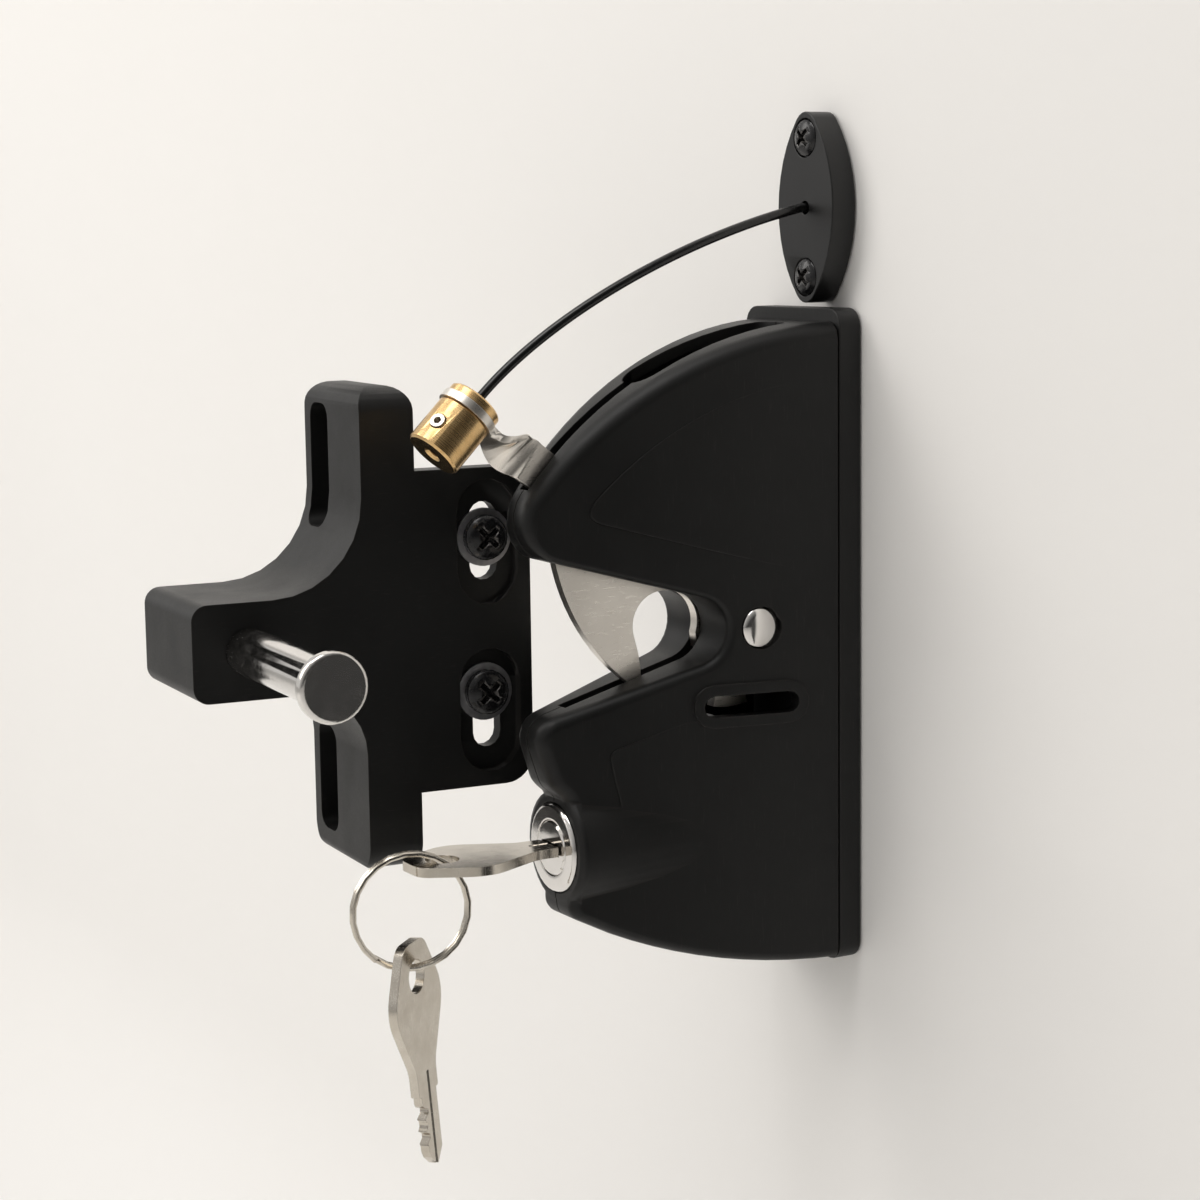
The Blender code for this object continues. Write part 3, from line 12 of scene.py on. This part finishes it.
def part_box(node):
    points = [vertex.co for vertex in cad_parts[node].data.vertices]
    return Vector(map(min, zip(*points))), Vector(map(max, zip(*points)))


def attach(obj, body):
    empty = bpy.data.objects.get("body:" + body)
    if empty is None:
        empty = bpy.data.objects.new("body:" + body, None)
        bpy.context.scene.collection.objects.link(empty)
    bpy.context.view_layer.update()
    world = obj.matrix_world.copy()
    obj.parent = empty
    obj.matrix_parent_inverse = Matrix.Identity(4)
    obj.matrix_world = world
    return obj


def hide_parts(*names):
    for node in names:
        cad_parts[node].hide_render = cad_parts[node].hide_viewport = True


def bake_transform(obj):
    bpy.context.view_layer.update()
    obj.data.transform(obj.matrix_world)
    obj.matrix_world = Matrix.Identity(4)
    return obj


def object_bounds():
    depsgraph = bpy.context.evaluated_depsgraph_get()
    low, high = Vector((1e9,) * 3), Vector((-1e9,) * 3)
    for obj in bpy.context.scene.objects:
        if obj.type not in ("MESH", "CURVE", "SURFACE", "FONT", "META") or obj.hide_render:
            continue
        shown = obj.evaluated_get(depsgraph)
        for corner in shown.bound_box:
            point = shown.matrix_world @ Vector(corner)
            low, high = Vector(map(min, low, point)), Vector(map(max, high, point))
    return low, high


MM = 0.001
WELD = 0.001 * MM                 # joins the corners that the faceted CAD meshes share
FLAT = radians(0.4)               # facets closer than this are one flat face
SMOOTH_ANGLE = radians(38.0)      # sharper edges than this stay creased
TWIST_ANGLE = radians(52.0)       # the same for the claw, whose twisted arm has coarser facets
PANEL_HEIGHT = 0.40 * MM          # step of the raised panels at their front end
CABLE_RADIUS = 1.0 * MM
POST_FADE = (0.105, 0.140)        # x where the wall starts to drop out of reflections, and is gone
FLOOR_DROP = 0.22                 # floor below the latch
WALL_Y = 0.0004                   # wall just behind the post's face
COVE_RADIUS = 0.15                # round join of wall and floor

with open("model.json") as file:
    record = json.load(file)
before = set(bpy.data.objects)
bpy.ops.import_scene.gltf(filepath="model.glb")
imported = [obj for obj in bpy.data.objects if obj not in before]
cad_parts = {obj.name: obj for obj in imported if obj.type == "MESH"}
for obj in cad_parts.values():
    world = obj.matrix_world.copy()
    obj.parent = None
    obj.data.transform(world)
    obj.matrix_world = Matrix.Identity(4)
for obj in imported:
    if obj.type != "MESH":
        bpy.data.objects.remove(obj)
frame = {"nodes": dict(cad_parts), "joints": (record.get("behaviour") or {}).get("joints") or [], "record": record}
cad_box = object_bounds()
scene = bpy.context.scene


# ---- node materials --------------------------------------------------------------------------
class Finish:
    """A Principled material under construction. Textures are in the object's own metres."""

    def __init__(self, name, colour, roughness, metallic=0.0, specular=0.5):
        self.material = bpy.data.materials.new(name)
        self.material.use_nodes = True
        self.tree = self.material.node_tree
        self.bsdf = self.tree.nodes["Principled BSDF"]
        self.place = self.add("ShaderNodeTexCoord").outputs["Object"]
        self.normal = None
        self.set("Base Color", (*colour, 1.0))
        self.set("Roughness", roughness)
        self.set("Metallic", metallic)
        self.set("Specular IOR Level", specular)
        self.material.diffuse_color = (*colour, 1.0)

    def add(self, kind, inputs=None, **settings):
        node = self.tree.nodes.new(kind)
        for key, value in settings.items():
            setattr(node, key, value)
        for key, value in (inputs or {}).items():
            self.feed(node.inputs[key], value)
        return node

    def feed(self, socket, value):
        if isinstance(value, bpy.types.NodeSocket):
            self.tree.links.new(value, socket)
        else:
            socket.default_value = value

    def set(self, name, value):
        self.feed(self.bsdf.inputs[name], value)

    def noise(self, size, detail=3.0, stretch=(1.0, 1.0, 1.0), rough=0.55):
        """Noise from 0 to 1 with features about size metres wide, longer along small stretches."""
        mapped = self.add("ShaderNodeMapping", {"Vector": self.place, "Scale": stretch})
        return self.add("ShaderNodeTexNoise", {"Vector": mapped.outputs[0], "Scale": 1.0 / size,
                                               "Detail": detail, "Roughness": rough}).outputs[0]

    def ramp(self, value, low, high, start=0.0, end=1.0):
        node = self.add("ShaderNodeMapRange", {"Value": value, "From Min": low, "From Max": high,
                                               "To Min": start, "To Max": end})
        return node.outputs[0]

    def math(self, operation, a, b=0.5):
        return self.add("ShaderNodeMath", {0: a, 1: b}, operation=operation).outputs[0]

    def tint(self, value, low, high):
        """The colour between low and high picked by value."""
        node = self.add("ShaderNodeValToRGB", {"Fac": value})
        node.color_ramp.elements[0].color = (*low, 1.0)
        node.color_ramp.elements[1].color = (*high, 1.0)
        return node.outputs[0]

    def soften_edges(self, radius, samples=4):
        self.normal = self.add("ShaderNodeBevel", {"Radius": radius}, samples=samples).outputs[0]
        self.set("Normal", self.normal)

    def edge_mask(self, radius, low=0.97, high=0.80, samples=4):
        """About 1 along edges and 0 on flat faces."""
        rounded_normal = self.add("ShaderNodeBevel", {"Radius": radius}, samples=samples).outputs[0]
        true_normal = self.add("ShaderNodeNewGeometry").outputs["True Normal"]
        dot = self.add("ShaderNodeVectorMath", {0: rounded_normal, 1: true_normal},
                       operation="DOT_PRODUCT").outputs["Value"]
        return self.ramp(dot, low, high)

    def bump(self, height, distance, strength=1.0):
        inputs = {"Height": height, "Distance": distance, "Strength": strength}
        if self.normal is not None:
            inputs["Normal"] = self.normal
        self.normal = self.add("ShaderNodeBump", inputs).outputs[0]
        self.set("Normal", self.normal)


def moulded_nylon(name, scratch_stretch):
    """Black glass-filled nylon: fine spark-eroded grain, faint flow marks, rubbed edges."""
    finish = Finish(name, (0.004, 0.004, 0.0039), 0.45, specular=0.34)
    flow = finish.noise(14.0 * MM, 4.0)
    grain = finish.noise(0.22 * MM, 2.0, rough=0.7)
    rubs = finish.noise(0.35 * MM, 3.0, stretch=scratch_stretch)
    rubbed = finish.ramp(rubs, 0.60, 0.74)
    edges = finish.math("MULTIPLY", finish.edge_mask(0.7 * MM), finish.ramp(grain, 0.3, 0.7, 0.4, 1.0))
    wear = finish.math("MAXIMUM", finish.math("MULTIPLY", edges, 0.55),
                       finish.math("MULTIPLY", rubbed, 0.22))
    finish.set("Base Color", finish.tint(wear, (0.0040, 0.0040, 0.0039), (0.034, 0.031, 0.028)))
    base_roughness = finish.ramp(flow, 0.3, 0.7, 0.40, 0.50)
    finish.set("Roughness", finish.math("ADD", base_roughness,
                                        finish.ramp(grain, 0.3, 0.7, -0.05, 0.06)))
    finish.soften_edges(0.25 * MM)
    finish.bump(grain, 0.020 * MM, 0.55)
    finish.bump(rubs, 0.010 * MM, 0.35)
    finish.bump(flow, 0.12 * MM, 0.35)
    return finish.material


def coated_metal(name):
    """Satin black coating with a very fine orange peel."""
    finish = Finish(name, (0.009, 0.009, 0.009), 0.36, specular=0.42)
    peel = finish.noise(0.5 * MM, 2.0)
    dust = finish.noise(0.10 * MM, 1.0)
    cloud = finish.noise(9.0 * MM, 3.0)
    finish.set("Base Color", finish.tint(finish.ramp(dust, 0.62, 0.8),
                                         (0.0045, 0.0045, 0.0046), (0.020, 0.019, 0.018)))
    finish.set("Roughness", finish.ramp(cloud, 0.3, 0.7, 0.30, 0.42))
    finish.soften_edges(0.3 * MM)
    finish.bump(peel, 0.02 * MM, 0.5)
    return finish.material


def rolled_stainless(name):
    """Satin rolled plate: fine lines along the roll, soft clouds, stray scratches."""
    finish = Finish(name, (0.62, 0.59, 0.54), 0.3, metallic=1.0)
    lines = finish.noise(0.12 * MM, 3.0, stretch=(1.0, 0.04, 1.0))
    cloud = finish.noise(7.0 * MM, 4.0)
    scratch = finish.noise(0.25 * MM, 2.0, stretch=(1.0, 1.0, 0.03))
    finish.set("Base Color", finish.tint(cloud, (0.72, 0.68, 0.62), (0.88, 0.84, 0.78)))
    finish.set("Roughness", finish.math("ADD", finish.ramp(lines, 0.3, 0.7, 0.26, 0.38),
                                        finish.ramp(scratch, 0.62, 0.75, 0.0, 0.14)))
    finish.soften_edges(0.15 * MM)
    finish.bump(lines, 0.006 * MM, 0.5)
    finish.bump(scratch, 0.008 * MM, 0.3)
    return finish.material


def polished_steel(name, scuffs=None):
    """Chrome-bright steel. scuffs: x where rubbing and pitting are heaviest, and where they end."""
    finish = Finish(name, (0.78, 0.76, 0.73), 0.12, metallic=1.0)
    cloud = finish.noise(3.0 * MM, 5.0)
    fine = finish.noise(0.15 * MM, 3.0, stretch=(0.08, 1.0, 1.0))
    roughness = finish.math("ADD", finish.ramp(cloud, 0.35, 0.75, 0.07, 0.17),
                            finish.ramp(fine, 0.5, 0.8, 0.0, 0.10))
    if scuffs:
        spots = finish.noise(0.7 * MM, 5.0, rough=0.7)
        across = finish.add("ShaderNodeSeparateXYZ", {0: finish.place}).outputs["X"]
        near = finish.ramp(across, *scuffs, 1.0, 0.12)
        band = finish.math("MULTIPLY", finish.ramp(spots, 0.42, 0.60), near)
        roughness = finish.math("ADD", roughness, finish.math("MULTIPLY", band, 0.30))
        finish.set("Base Color", finish.tint(band, (0.76, 0.74, 0.71), (0.40, 0.38, 0.35)))
        finish.soften_edges(0.35 * MM)
        finish.bump(finish.math("MULTIPLY", spots, near), 0.02 * MM, 0.6)
    else:
        finish.set("Base Color", finish.tint(cloud, (0.70, 0.68, 0.65), (0.84, 0.82, 0.80)))
        finish.soften_edges(0.12 * MM)
    finish.set("Roughness", roughness)
    finish.bump(fine, 0.004 * MM, 0.4)
    return finish.material


def turned_brass(name, axis):
    """Brass turned on a lathe: fine rings across the axis, darker in patches."""
    finish = Finish(name, (0.66, 0.47, 0.20), 0.24, metallic=1.0)
    along = finish.add("ShaderNodeVectorMath", {0: finish.place, 1: tuple(axis)},
                       operation="DOT_PRODUCT").outputs["Value"]
    rings = finish.add("ShaderNodeTexNoise", {"W": along, "Scale": 1.0 / (0.10 * MM),
                                              "Detail": 3.0}, noise_dimensions="1D").outputs[0]
    patch = finish.noise(2.2 * MM, 5.0)
    fleck = finish.noise(0.2 * MM, 2.0)
    finish.set("Base Color", finish.tint(patch, (0.62, 0.38, 0.15), (0.92, 0.66, 0.34)))
    finish.set("Roughness", finish.math("ADD", finish.ramp(rings, 0.3, 0.7, 0.18, 0.34),
                                        finish.ramp(fleck, 0.6, 0.75, 0.0, 0.12)))
    finish.soften_edges(0.15 * MM)
    finish.bump(rings, 0.006 * MM, 0.6)
    return finish.material


def nickel_plate(name):
    """Nickel-plated brass handled for years: warm tint, fine criss-cross scratches."""
    finish = Finish(name, (0.62, 0.57, 0.50), 0.2, metallic=1.0)
    cloud = finish.noise(4.0 * MM, 5.0)
    cross = finish.math("MAXIMUM", finish.noise(0.2 * MM, 2.0, stretch=(1.0, 1.0, 0.05)),
                        finish.noise(0.2 * MM, 2.0, stretch=(1.0, 0.06, 1.0)))
    finish.set("Base Color", finish.tint(cloud, (0.46, 0.41, 0.34), (0.74, 0.70, 0.63)))
    finish.set("Roughness", finish.math("ADD", finish.ramp(cloud, 0.3, 0.7, 0.14, 0.26),
                                        finish.ramp(cross, 0.6, 0.75, 0.0, 0.16)))
    finish.soften_edges(0.2 * MM)
    finish.bump(cross, 0.006 * MM, 0.4)
    return finish.material


def zinc_plate(name):
    """Bright zinc plating with a soft spangle."""
    finish = Finish(name, (0.60, 0.61, 0.63), 0.3, metallic=1.0)
    cells = finish.add("ShaderNodeTexVoronoi", {"Vector": finish.place, "Scale": 1.0 / (1.1 * MM)},
                       feature="SMOOTH_F1").outputs[0]
    cloud = finish.noise(2.0 * MM, 4.0)
    finish.set("Base Color", finish.tint(cells, (0.42, 0.42, 0.43), (0.28, 0.28, 0.30)))
    finish.set("Roughness", finish.ramp(cloud, 0.3, 0.7, 0.34, 0.50))
    finish.soften_edges(0.12 * MM)
    finish.bump(cloud, 0.01 * MM, 0.3)
    return finish.material


def black_oxide(name):
    """Glossy black screws, bare metal showing faintly on the driven edges."""
    finish = Finish(name, (0.012, 0.012, 0.013), 0.22, metallic=0.35, specular=0.6)
    edges = finish.edge_mask(0.25 * MM, 0.96, 0.7)
    cloud = finish.noise(0.9 * MM, 4.0)
    finish.set("Base Color", finish.tint(finish.math("MULTIPLY", edges, cloud),
                                         (0.010, 0.010, 0.011), (0.16, 0.15, 0.14)))
    finish.set("Roughness", finish.ramp(cloud, 0.3, 0.7, 0.16, 0.32))
    finish.soften_edges(0.12 * MM)
    finish.bump(cloud, 0.02 * MM, 0.3)
    return finish.material


def cable_jacket(name):
    """Thin glossy sheath through which the lay of the strands shows slightly."""
    finish = Finish(name, (0.008, 0.008, 0.008), 0.2, specular=0.5)
    lay = finish.noise(0.5 * MM, 2.0, stretch=(1.0, 0.5, 0.5))
    dust = finish.noise(0.15 * MM, 2.0)
    finish.set("Base Color", finish.tint(finish.ramp(dust, 0.6, 0.8), (0.004, 0.004, 0.004),
                                         (0.02, 0.019, 0.018)))
    finish.set("Roughness", finish.ramp(lay, 0.3, 0.7, 0.16, 0.28))
    finish.bump(lay, 0.02 * MM, 0.4)
    return finish.material


def acetal(name):
    finish = Finish(name, (0.78, 0.77, 0.73), 0.35)
    cloud = finish.noise(3.0 * MM, 2.0)
    finish.set("Base Color", finish.tint(cloud, (0.74, 0.73, 0.69), (0.82, 0.81, 0.77)))
    finish.bump(finish.noise(0.3 * MM), 0.01 * MM, 0.3)
    return finish.material


# ---- fine surfaces of the CAD nodes ----------------------------------------------------------
def body_of(node):
    bodies = frame["record"]["behaviour"]["bodies"]
    return next(name for name, members in bodies.items() if node in members)


def add_piece(name, mesh, material, body):
    piece = bpy.data.objects.new(name, mesh)
    scene.collection.objects.link(piece)
    mesh.materials.clear()
    mesh.materials.append(material)
    if body:
        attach(piece, body)
    return piece


def welded(node):
    """The node's surface with its facets joined and its flat faces whole."""
    bm = bmesh.new()
    bm.from_mesh(frame["nodes"][node].data)
    bmesh.ops.remove_doubles(bm, verts=bm.verts, dist=WELD)
    bmesh.ops.dissolve_limit(bm, angle_limit=FLAT, verts=bm.verts, edges=bm.edges)
    return bm


def flat_weighted(piece):
    """Normals that keep large flat faces flat beside rounded edges."""
    weighted = piece.modifiers.new("normals", "WEIGHTED_NORMAL")
    weighted.keep_sharp = True
    weighted.weight = 100


def surface(node, material, angle=SMOOTH_ANGLE):
    """Stands for a CAD node: the same shape, smooth where it is round."""
    bm = welded(node)
    mesh = bpy.data.meshes.new(node + "_surface")
    bm.to_mesh(mesh)
    bm.free()
    mesh.shade_smooth()
    mesh.set_sharp_from_angle(angle=angle)
    piece = add_piece(node + "_surface", mesh, material, body_of(node))
    flat_weighted(piece)
    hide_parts(node)
    return piece


# ---- raised panels on the housing's sides ----------------------------------------------------
def arc(centre, radius, start, end, steps):
    return [Vector((centre[0] + radius * cos(start + (end - start) * i / steps),
                    centre[1] + radius * sin(start + (end - start) * i / steps)))
            for i in range(steps + 1)]


def rounded_corner(before, corner, after, radius, steps=5):
    """Points along a round corner, as a quadratic curve tangent to both sides."""
    start = corner + (before - corner).normalized() * radius
    end = corner + (after - corner).normalized() * radius
    return [start * (1 - t) ** 2 + corner * 2 * t * (1 - t) + end * t ** 2
            for t in (i / steps for i in range(steps + 1))]


def rounded_outline(corners):
    """Corners are (y, z, radius); a zero radius keeps the point."""
    points = []
    count = len(corners)
    for i, (y, z, radius) in enumerate(corners):
        corner = Vector((y, z))
        if radius == 0:
            points.append(corner)
            continue
        before = Vector(corners[i - 1][:2])
        after = Vector(corners[(i + 1) % count][:2])
        points += rounded_corner(before, corner, after, radius)
    return points


def densified(outline, step):
    points = []
    for a, b in zip(outline, outline[1:] + outline[:1]):
        count = max(1, round((b - a).length / step))
        points += [a + (b - a) * i / count for i in range(count)]
    return points


def side_plane():
    """x on the near shell's flat side face, as (x at y = 0, slope)."""
    bm = welded("near_shell")
    tree = BVHTree.FromBMesh(bm)
    bm.free()
    samples = [Vector((40.0, y, 34.0)) * MM for y in (-20.0, -44.0)]
    hits = [tree.ray_cast(start, Vector((-1, 0, 0)))[0] for start in samples]
    slope = (hits[0].x - hits[1].x) / (hits[0].y - hits[1].y)
    return hits[0].x - slope * hits[0].y, slope


def raised_panel(name, shell, side, outline, height, front, back, material):
    """A step on the shell's side face, full height at y = front and gone at y = back."""
    start, slope = side_plane()
    outline = densified(outline, 2.0 * MM)
    middle = sum(outline, Vector((0.0, 0.0))) / len(outline)
    fade = height / (back - front)
    levels = ((0.0, 0.5 * MM), (0.0, 0.12 * MM), (0.12 * MM, 0.03 * MM), (0.35 * MM, 0.0))
    mesh = bmesh.new()
    rings = []
    for inset, drop in levels:
        ring = []
        for point in outline:
            place = point + (middle - point).normalized() * inset
            lift = fade * (back - point.x) - drop
            ring.append(mesh.verts.new((side * (start + slope * place.x + lift), *place)))
        rings.append(ring)
    for lower, upper in zip(rings, rings[1:]):
        for i in range(len(outline)):
            j = (i + 1) % len(outline)
            mesh.faces.new((lower[i], lower[j], upper[j], upper[i]))
    mesh.faces.new(rings[0])
    mesh.faces.new(rings[-1])
    bmesh.ops.recalc_face_normals(mesh, faces=mesh.faces)
    data = bpy.data.meshes.new(name)
    mesh.to_mesh(data)
    mesh.free()
    data.shade_smooth()
    data.set_sharp_from_angle(angle=SMOOTH_ANGLE)
    piece = add_piece(name, data, material, body_of(shell))
    flat_weighted(piece)
    return piece


def add_panels(material):
    """A curved panel above the mouth and a small one behind the lock, on both sides."""
    crown_centre, crown_radius = Vector((-1.6, -27.7)) * MM, 81.0 * MM
    crown = arc(crown_centre, crown_radius, radians(95.0), radians(135.6), 14)
    point, mouth_side = Vector((-62.7, 25.2)) * MM, Vector((-36.7, 17.8)) * MM
    upper = crown + rounded_corner(crown[-1], point, mouth_side, 4.6 * MM, 7)
    upper += [mouth_side, Vector((-8.0, 10.0)) * MM]
    lower = rounded_outline([(-36.0 * MM, -17.8 * MM, 0), (-57.6 * MM, -24.2 * MM, 2.2 * MM),
                             (-54.4 * MM, -38.6 * MM, 2.2 * MM), (-36.0 * MM, -44.6 * MM, 0)])
    for shell, side in (("near_shell", 1), ("far_shell", -1)):
        raised_panel(f"{shell}_upper_panel", shell, side, upper, PANEL_HEIGHT, -60.0 * MM,
                     -16.0 * MM, material)
        raised_panel(f"{shell}_lower_panel", shell, side, lower, PANEL_HEIGHT, -58.0 * MM,
                     -38.0 * MM, material)


# ---- cable -----------------------------------------------------------------------------------
def cable_line():
    """From inside the clamp up through the arm's eye, over to the escutcheon and through it."""
    swivel = next(j for j in frame["joints"] if j["name"] == "clamp_swivel")
    eye, up = Vector(swivel["pos_m"]), Vector(swivel["axis"]).normalized()
    low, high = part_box("escutcheon")
    hole = Vector(((low.x + high.x) / 2, low.y - 1.0 * MM, (low.z + high.z) / 2))
    leave = eye + up * 4.2 * MM
    bend = (leave, leave + up * 22 * MM, hole + Vector((-1.2, -30.0, -6.4)) * MM, hole)
    points = [eye - up * 9.9 * MM * t for t in (1.0, 0.6, 0.3, 0.0)]
    steps = 60
    for i in range(steps + 1):
        t = i / steps
        points.append(bend[0] * (1 - t) ** 3 + bend[1] * 3 * t * (1 - t) ** 2
                      + bend[2] * 3 * t ** 2 * (1 - t) + bend[3] * t ** 3)
    points += [hole + Vector((0.0, y, 0.0)) * MM for y in (2.0, 9.0, 17.0)]
    return points, leave, hole, up


def add_cable(material):
    points, leave, hole, up = cable_line()
    curve = bpy.data.curves.new("cable_line", "CURVE")
    curve.dimensions = "3D"
    spline = curve.splines.new("POLY")
    spline.points.add(len(points) - 1)
    for target, point in zip(spline.points, points):
        target.co = (*point, 1.0)
    curve.bevel_depth = CABLE_RADIUS
    curve.bevel_resolution = 5
    curve.use_fill_caps = True
    holder = bpy.data.objects.new("cable_line", curve)
    scene.collection.objects.link(holder)
    mesh = bpy.data.meshes.new_from_object(holder.evaluated_get(
        bpy.context.evaluated_depsgraph_get()))
    bpy.data.objects.remove(holder)
    mesh.name = "cable_surface"
    mesh.shade_smooth()
    mesh.set_sharp_from_angle(angle=SMOOTH_ANGLE)
    piece = add_piece("cable_surface", mesh, material, None)
    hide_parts("cable")
    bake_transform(piece)
    return piece


# ---- everything on the object ----------------------------------------------------------------
def dress():
    nylon = moulded_nylon("housing nylon", (1.0, 1.0, 0.08))
    bracket_nylon = moulded_nylon("bracket nylon", (1.0, 0.10, 1.0))
    coated = coated_metal("coated metal")
    stainless = rolled_stainless("rolled stainless")
    chrome = polished_steel("polished steel")
    pin_low, pin_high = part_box("striker_pin")
    pin_steel = polished_steel("scuffed steel", (pin_low.x + 2 * MM, (pin_low.x + pin_high.x) / 2))
    swivel = next(j for j in frame["joints"] if j["name"] == "clamp_swivel")
    brass = turned_brass("turned brass", swivel["axis"])
    nickel = nickel_plate("nickel plate")
    zinc = zinc_plate("zinc plate")
    oxide = black_oxide("black oxide")

    for node in ("near_shell", "far_shell", "base_plate"):
        surface(node, nylon)
    surface("striker_bracket", bracket_nylon)
    add_panels(nylon)
    surface("escutcheon", coated)
    surface("claw", stainless, angle=TWIST_ANGLE)
    for node in ("cable_clamp", "clamp_collar"):
        surface(node, brass)
    for node in ("pivot_rivet", "lock_barrel", "lock_plug"):
        surface(node, chrome)
    surface("striker_pin", pin_steel)
    for node in ("key", "spare_key", "key_ring"):
        surface(node, nickel)
    surface("clamp_set_screw", nickel)
    for node in ("base_screw_1", "base_screw_2", "base_screw_3", "lock_clip", "lock_cam",
                 "cam_screw", "locking_bar", "striker_pin_screw", "side_washer_1",
                 "side_washer_2"):
        surface(node, zinc)
    for node in ("shell_screw_1", "shell_screw_2", "shell_screw_3", "escutcheon_screw_1",
                 "escutcheon_screw_2", "side_screw_1", "side_screw_2"):
        surface(node, oxide)
    surface("pivot_bush", acetal("acetal"))
    add_cable(cable_jacket("cable jacket"))


# ---- backdrop, light and camera --------------------------------------------------------------
def pale_paint(name, wall=False):
    """Matt pale paint for the stage, left out of reflections wherever it would grey the black sides.

    A wall shows only from the front, casts no shade behind it and is mirrored only near the post.
    A floor is mirrored only in front of the wall.
    """
    finish = Finish(name, (0.86, 0.85, 0.83), 0.7, specular=0.2)
    cloud = finish.noise(0.4, 2.0)
    finish.set("Base Color", finish.tint(cloud, (0.84, 0.825, 0.80), (0.88, 0.87, 0.855)))
    path = finish.add("ShaderNodeLightPath").outputs
    spot = finish.add("ShaderNodeSeparateXYZ", {0: finish.place}).outputs
    if wall:
        mirrored = finish.math("MULTIPLY", path["Is Glossy Ray"],
                               finish.ramp(spot["X"], *POST_FADE, 1.0, 0.0))
        seen = finish.math("MAXIMUM", path["Is Camera Ray"], mirrored)
        behind = finish.add("ShaderNodeNewGeometry").outputs["Backfacing"]
        shown = finish.math("MAXIMUM", finish.math("SUBTRACT", seen, behind), 0.0)
    else:
        hidden = finish.math("MULTIPLY", path["Is Glossy Ray"],
                             finish.math("GREATER_THAN", spot["Y"], 0.0))
        shown = finish.math("SUBTRACT", 1.0, hidden)
    clear = finish.add("ShaderNodeBsdfTransparent")
    mix = finish.add("ShaderNodeMixShader", {"Fac": shown, 1: clear.outputs[0],
                                             2: finish.bsdf.outputs[0]})
    finish.feed(finish.tree.nodes["Material Output"].inputs["Surface"], mix.outputs[0])
    return finish.material


def sheet(name, profile, half_width, material):
    """A profile of (y, z) points drawn out along X, facing -Y and up."""
    bm = bmesh.new()
    rows = [[bm.verts.new((x, *point)) for x in (-half_width, half_width)] for point in profile]
    for (a, b), (c, d) in zip(rows, rows[1:]):
        bm.faces.new((a, b, d, c))
    mesh = bpy.data.meshes.new(name)
    bm.to_mesh(mesh)
    bm.free()
    mesh.shade_smooth()
    mesh.materials.append(material)
    piece = bpy.data.objects.new(name, mesh)
    scene.collection.objects.link(piece)


def add_backdrop():
    """A pale floor well below the latch, and a wall where the post's face is."""
    floor = cad_box[0].z - FLOOR_DROP
    wall, cove = WALL_Y, COVE_RADIUS
    sheet("floor", [(-4.0, floor), (4.0, floor)], 4.0, pale_paint("floor paint"))
    bend = arc((wall - cove, floor + cove + 0.0005), cove, -pi / 2, 0.0, 16)
    sheet("wall", [tuple(p) for p in bend] + [(wall, 1.5)], 4.0,
          pale_paint("wall paint", wall=True))


def soft_light(name, place, target, size, power, colour):
    lamp = bpy.data.lights.new(name, "AREA")
    lamp.shape = "RECTANGLE"
    lamp.size, lamp.size_y = size
    lamp.energy = power
    lamp.color = colour
    holder = bpy.data.objects.new(name, lamp)
    scene.collection.objects.link(holder)
    holder.location = place
    holder.rotation_euler = (Vector(target) - Vector(place)).to_track_quat("-Z", "Y").to_euler()


def add_world():
    """Pale to the camera; otherwise a room bright on the left and above, dim on the right."""
    world = bpy.data.worlds.new("studio")
    scene.world = world
    world.use_nodes = True
    tree = world.node_tree
    background = tree.nodes["Background"]
    heading = tree.nodes.new("ShaderNodeTexCoord")
    facing = tree.nodes.new("ShaderNodeVectorMath")
    facing.operation = "DOT_PRODUCT"
    facing.inputs[1].default_value = Vector((-0.62, -0.50, 0.60)).normalized()
    tree.links.new(heading.outputs["Generated"], facing.inputs[0])
    room = tree.nodes.new("ShaderNodeMapRange")
    room.inputs["From Min"].default_value = -0.30
    room.inputs["From Max"].default_value = 0.75
    room.inputs["To Min"].default_value = 0.05
    room.inputs["To Max"].default_value = 0.66
    tree.links.new(facing.outputs["Value"], room.inputs["Value"])
    path = tree.nodes.new("ShaderNodeLightPath")
    strength = tree.nodes.new("ShaderNodeMix")
    strength.inputs["B"].default_value = 0.80
    tree.links.new(path.outputs["Is Camera Ray"], strength.inputs["Factor"])
    tree.links.new(room.outputs["Result"], strength.inputs["A"])
    tree.links.new(strength.outputs["Result"], background.inputs["Strength"])
    background.inputs["Color"].default_value = (1.0, 0.98, 0.955, 1.0)


def add_light():
    add_world()
    centre = (cad_box[0] + cad_box[1]) / 2
    soft_light("key_light", (-0.75, -1.0, 0.75), centre, (0.9, 0.9), 8.5, (1.0, 0.97, 0.93))
    soft_light("top_light", (0.1, -0.5, 1.3), centre, (0.8, 0.6), 6.0, (1.0, 0.98, 0.96))
    soft_light("back_light", (-0.25, 1.2, 0.6), centre, (0.8, 0.8), 7.0, (1.0, 0.98, 0.96))


def add_camera():
    """Seen from 60 degrees round towards +X, eight degrees above, with a slight roll."""
    right = Vector((0.5017, 0.8650, -0.0138))
    up = Vector((-0.1150, 0.0825, 0.9899))
    back = Vector((0.8574, -0.4950, 0.1409))
    place = Vector((0.4697, -0.3256, 0.0841))
    lens = bpy.data.cameras.new("camera")
    lens.lens = 78.0
    lens.sensor_width = 36.0
    lens.clip_start, lens.clip_end = 0.01, 20.0
    camera = bpy.data.objects.new("camera", lens)
    scene.collection.objects.link(camera)
    columns = Matrix((right, up, back)).transposed().to_4x4()
    camera.matrix_world = Matrix.Translation(place) @ columns
    scene.camera = camera
    scene.view_settings.view_transform = "Standard"


dress()
add_backdrop()
add_light()
add_camera()
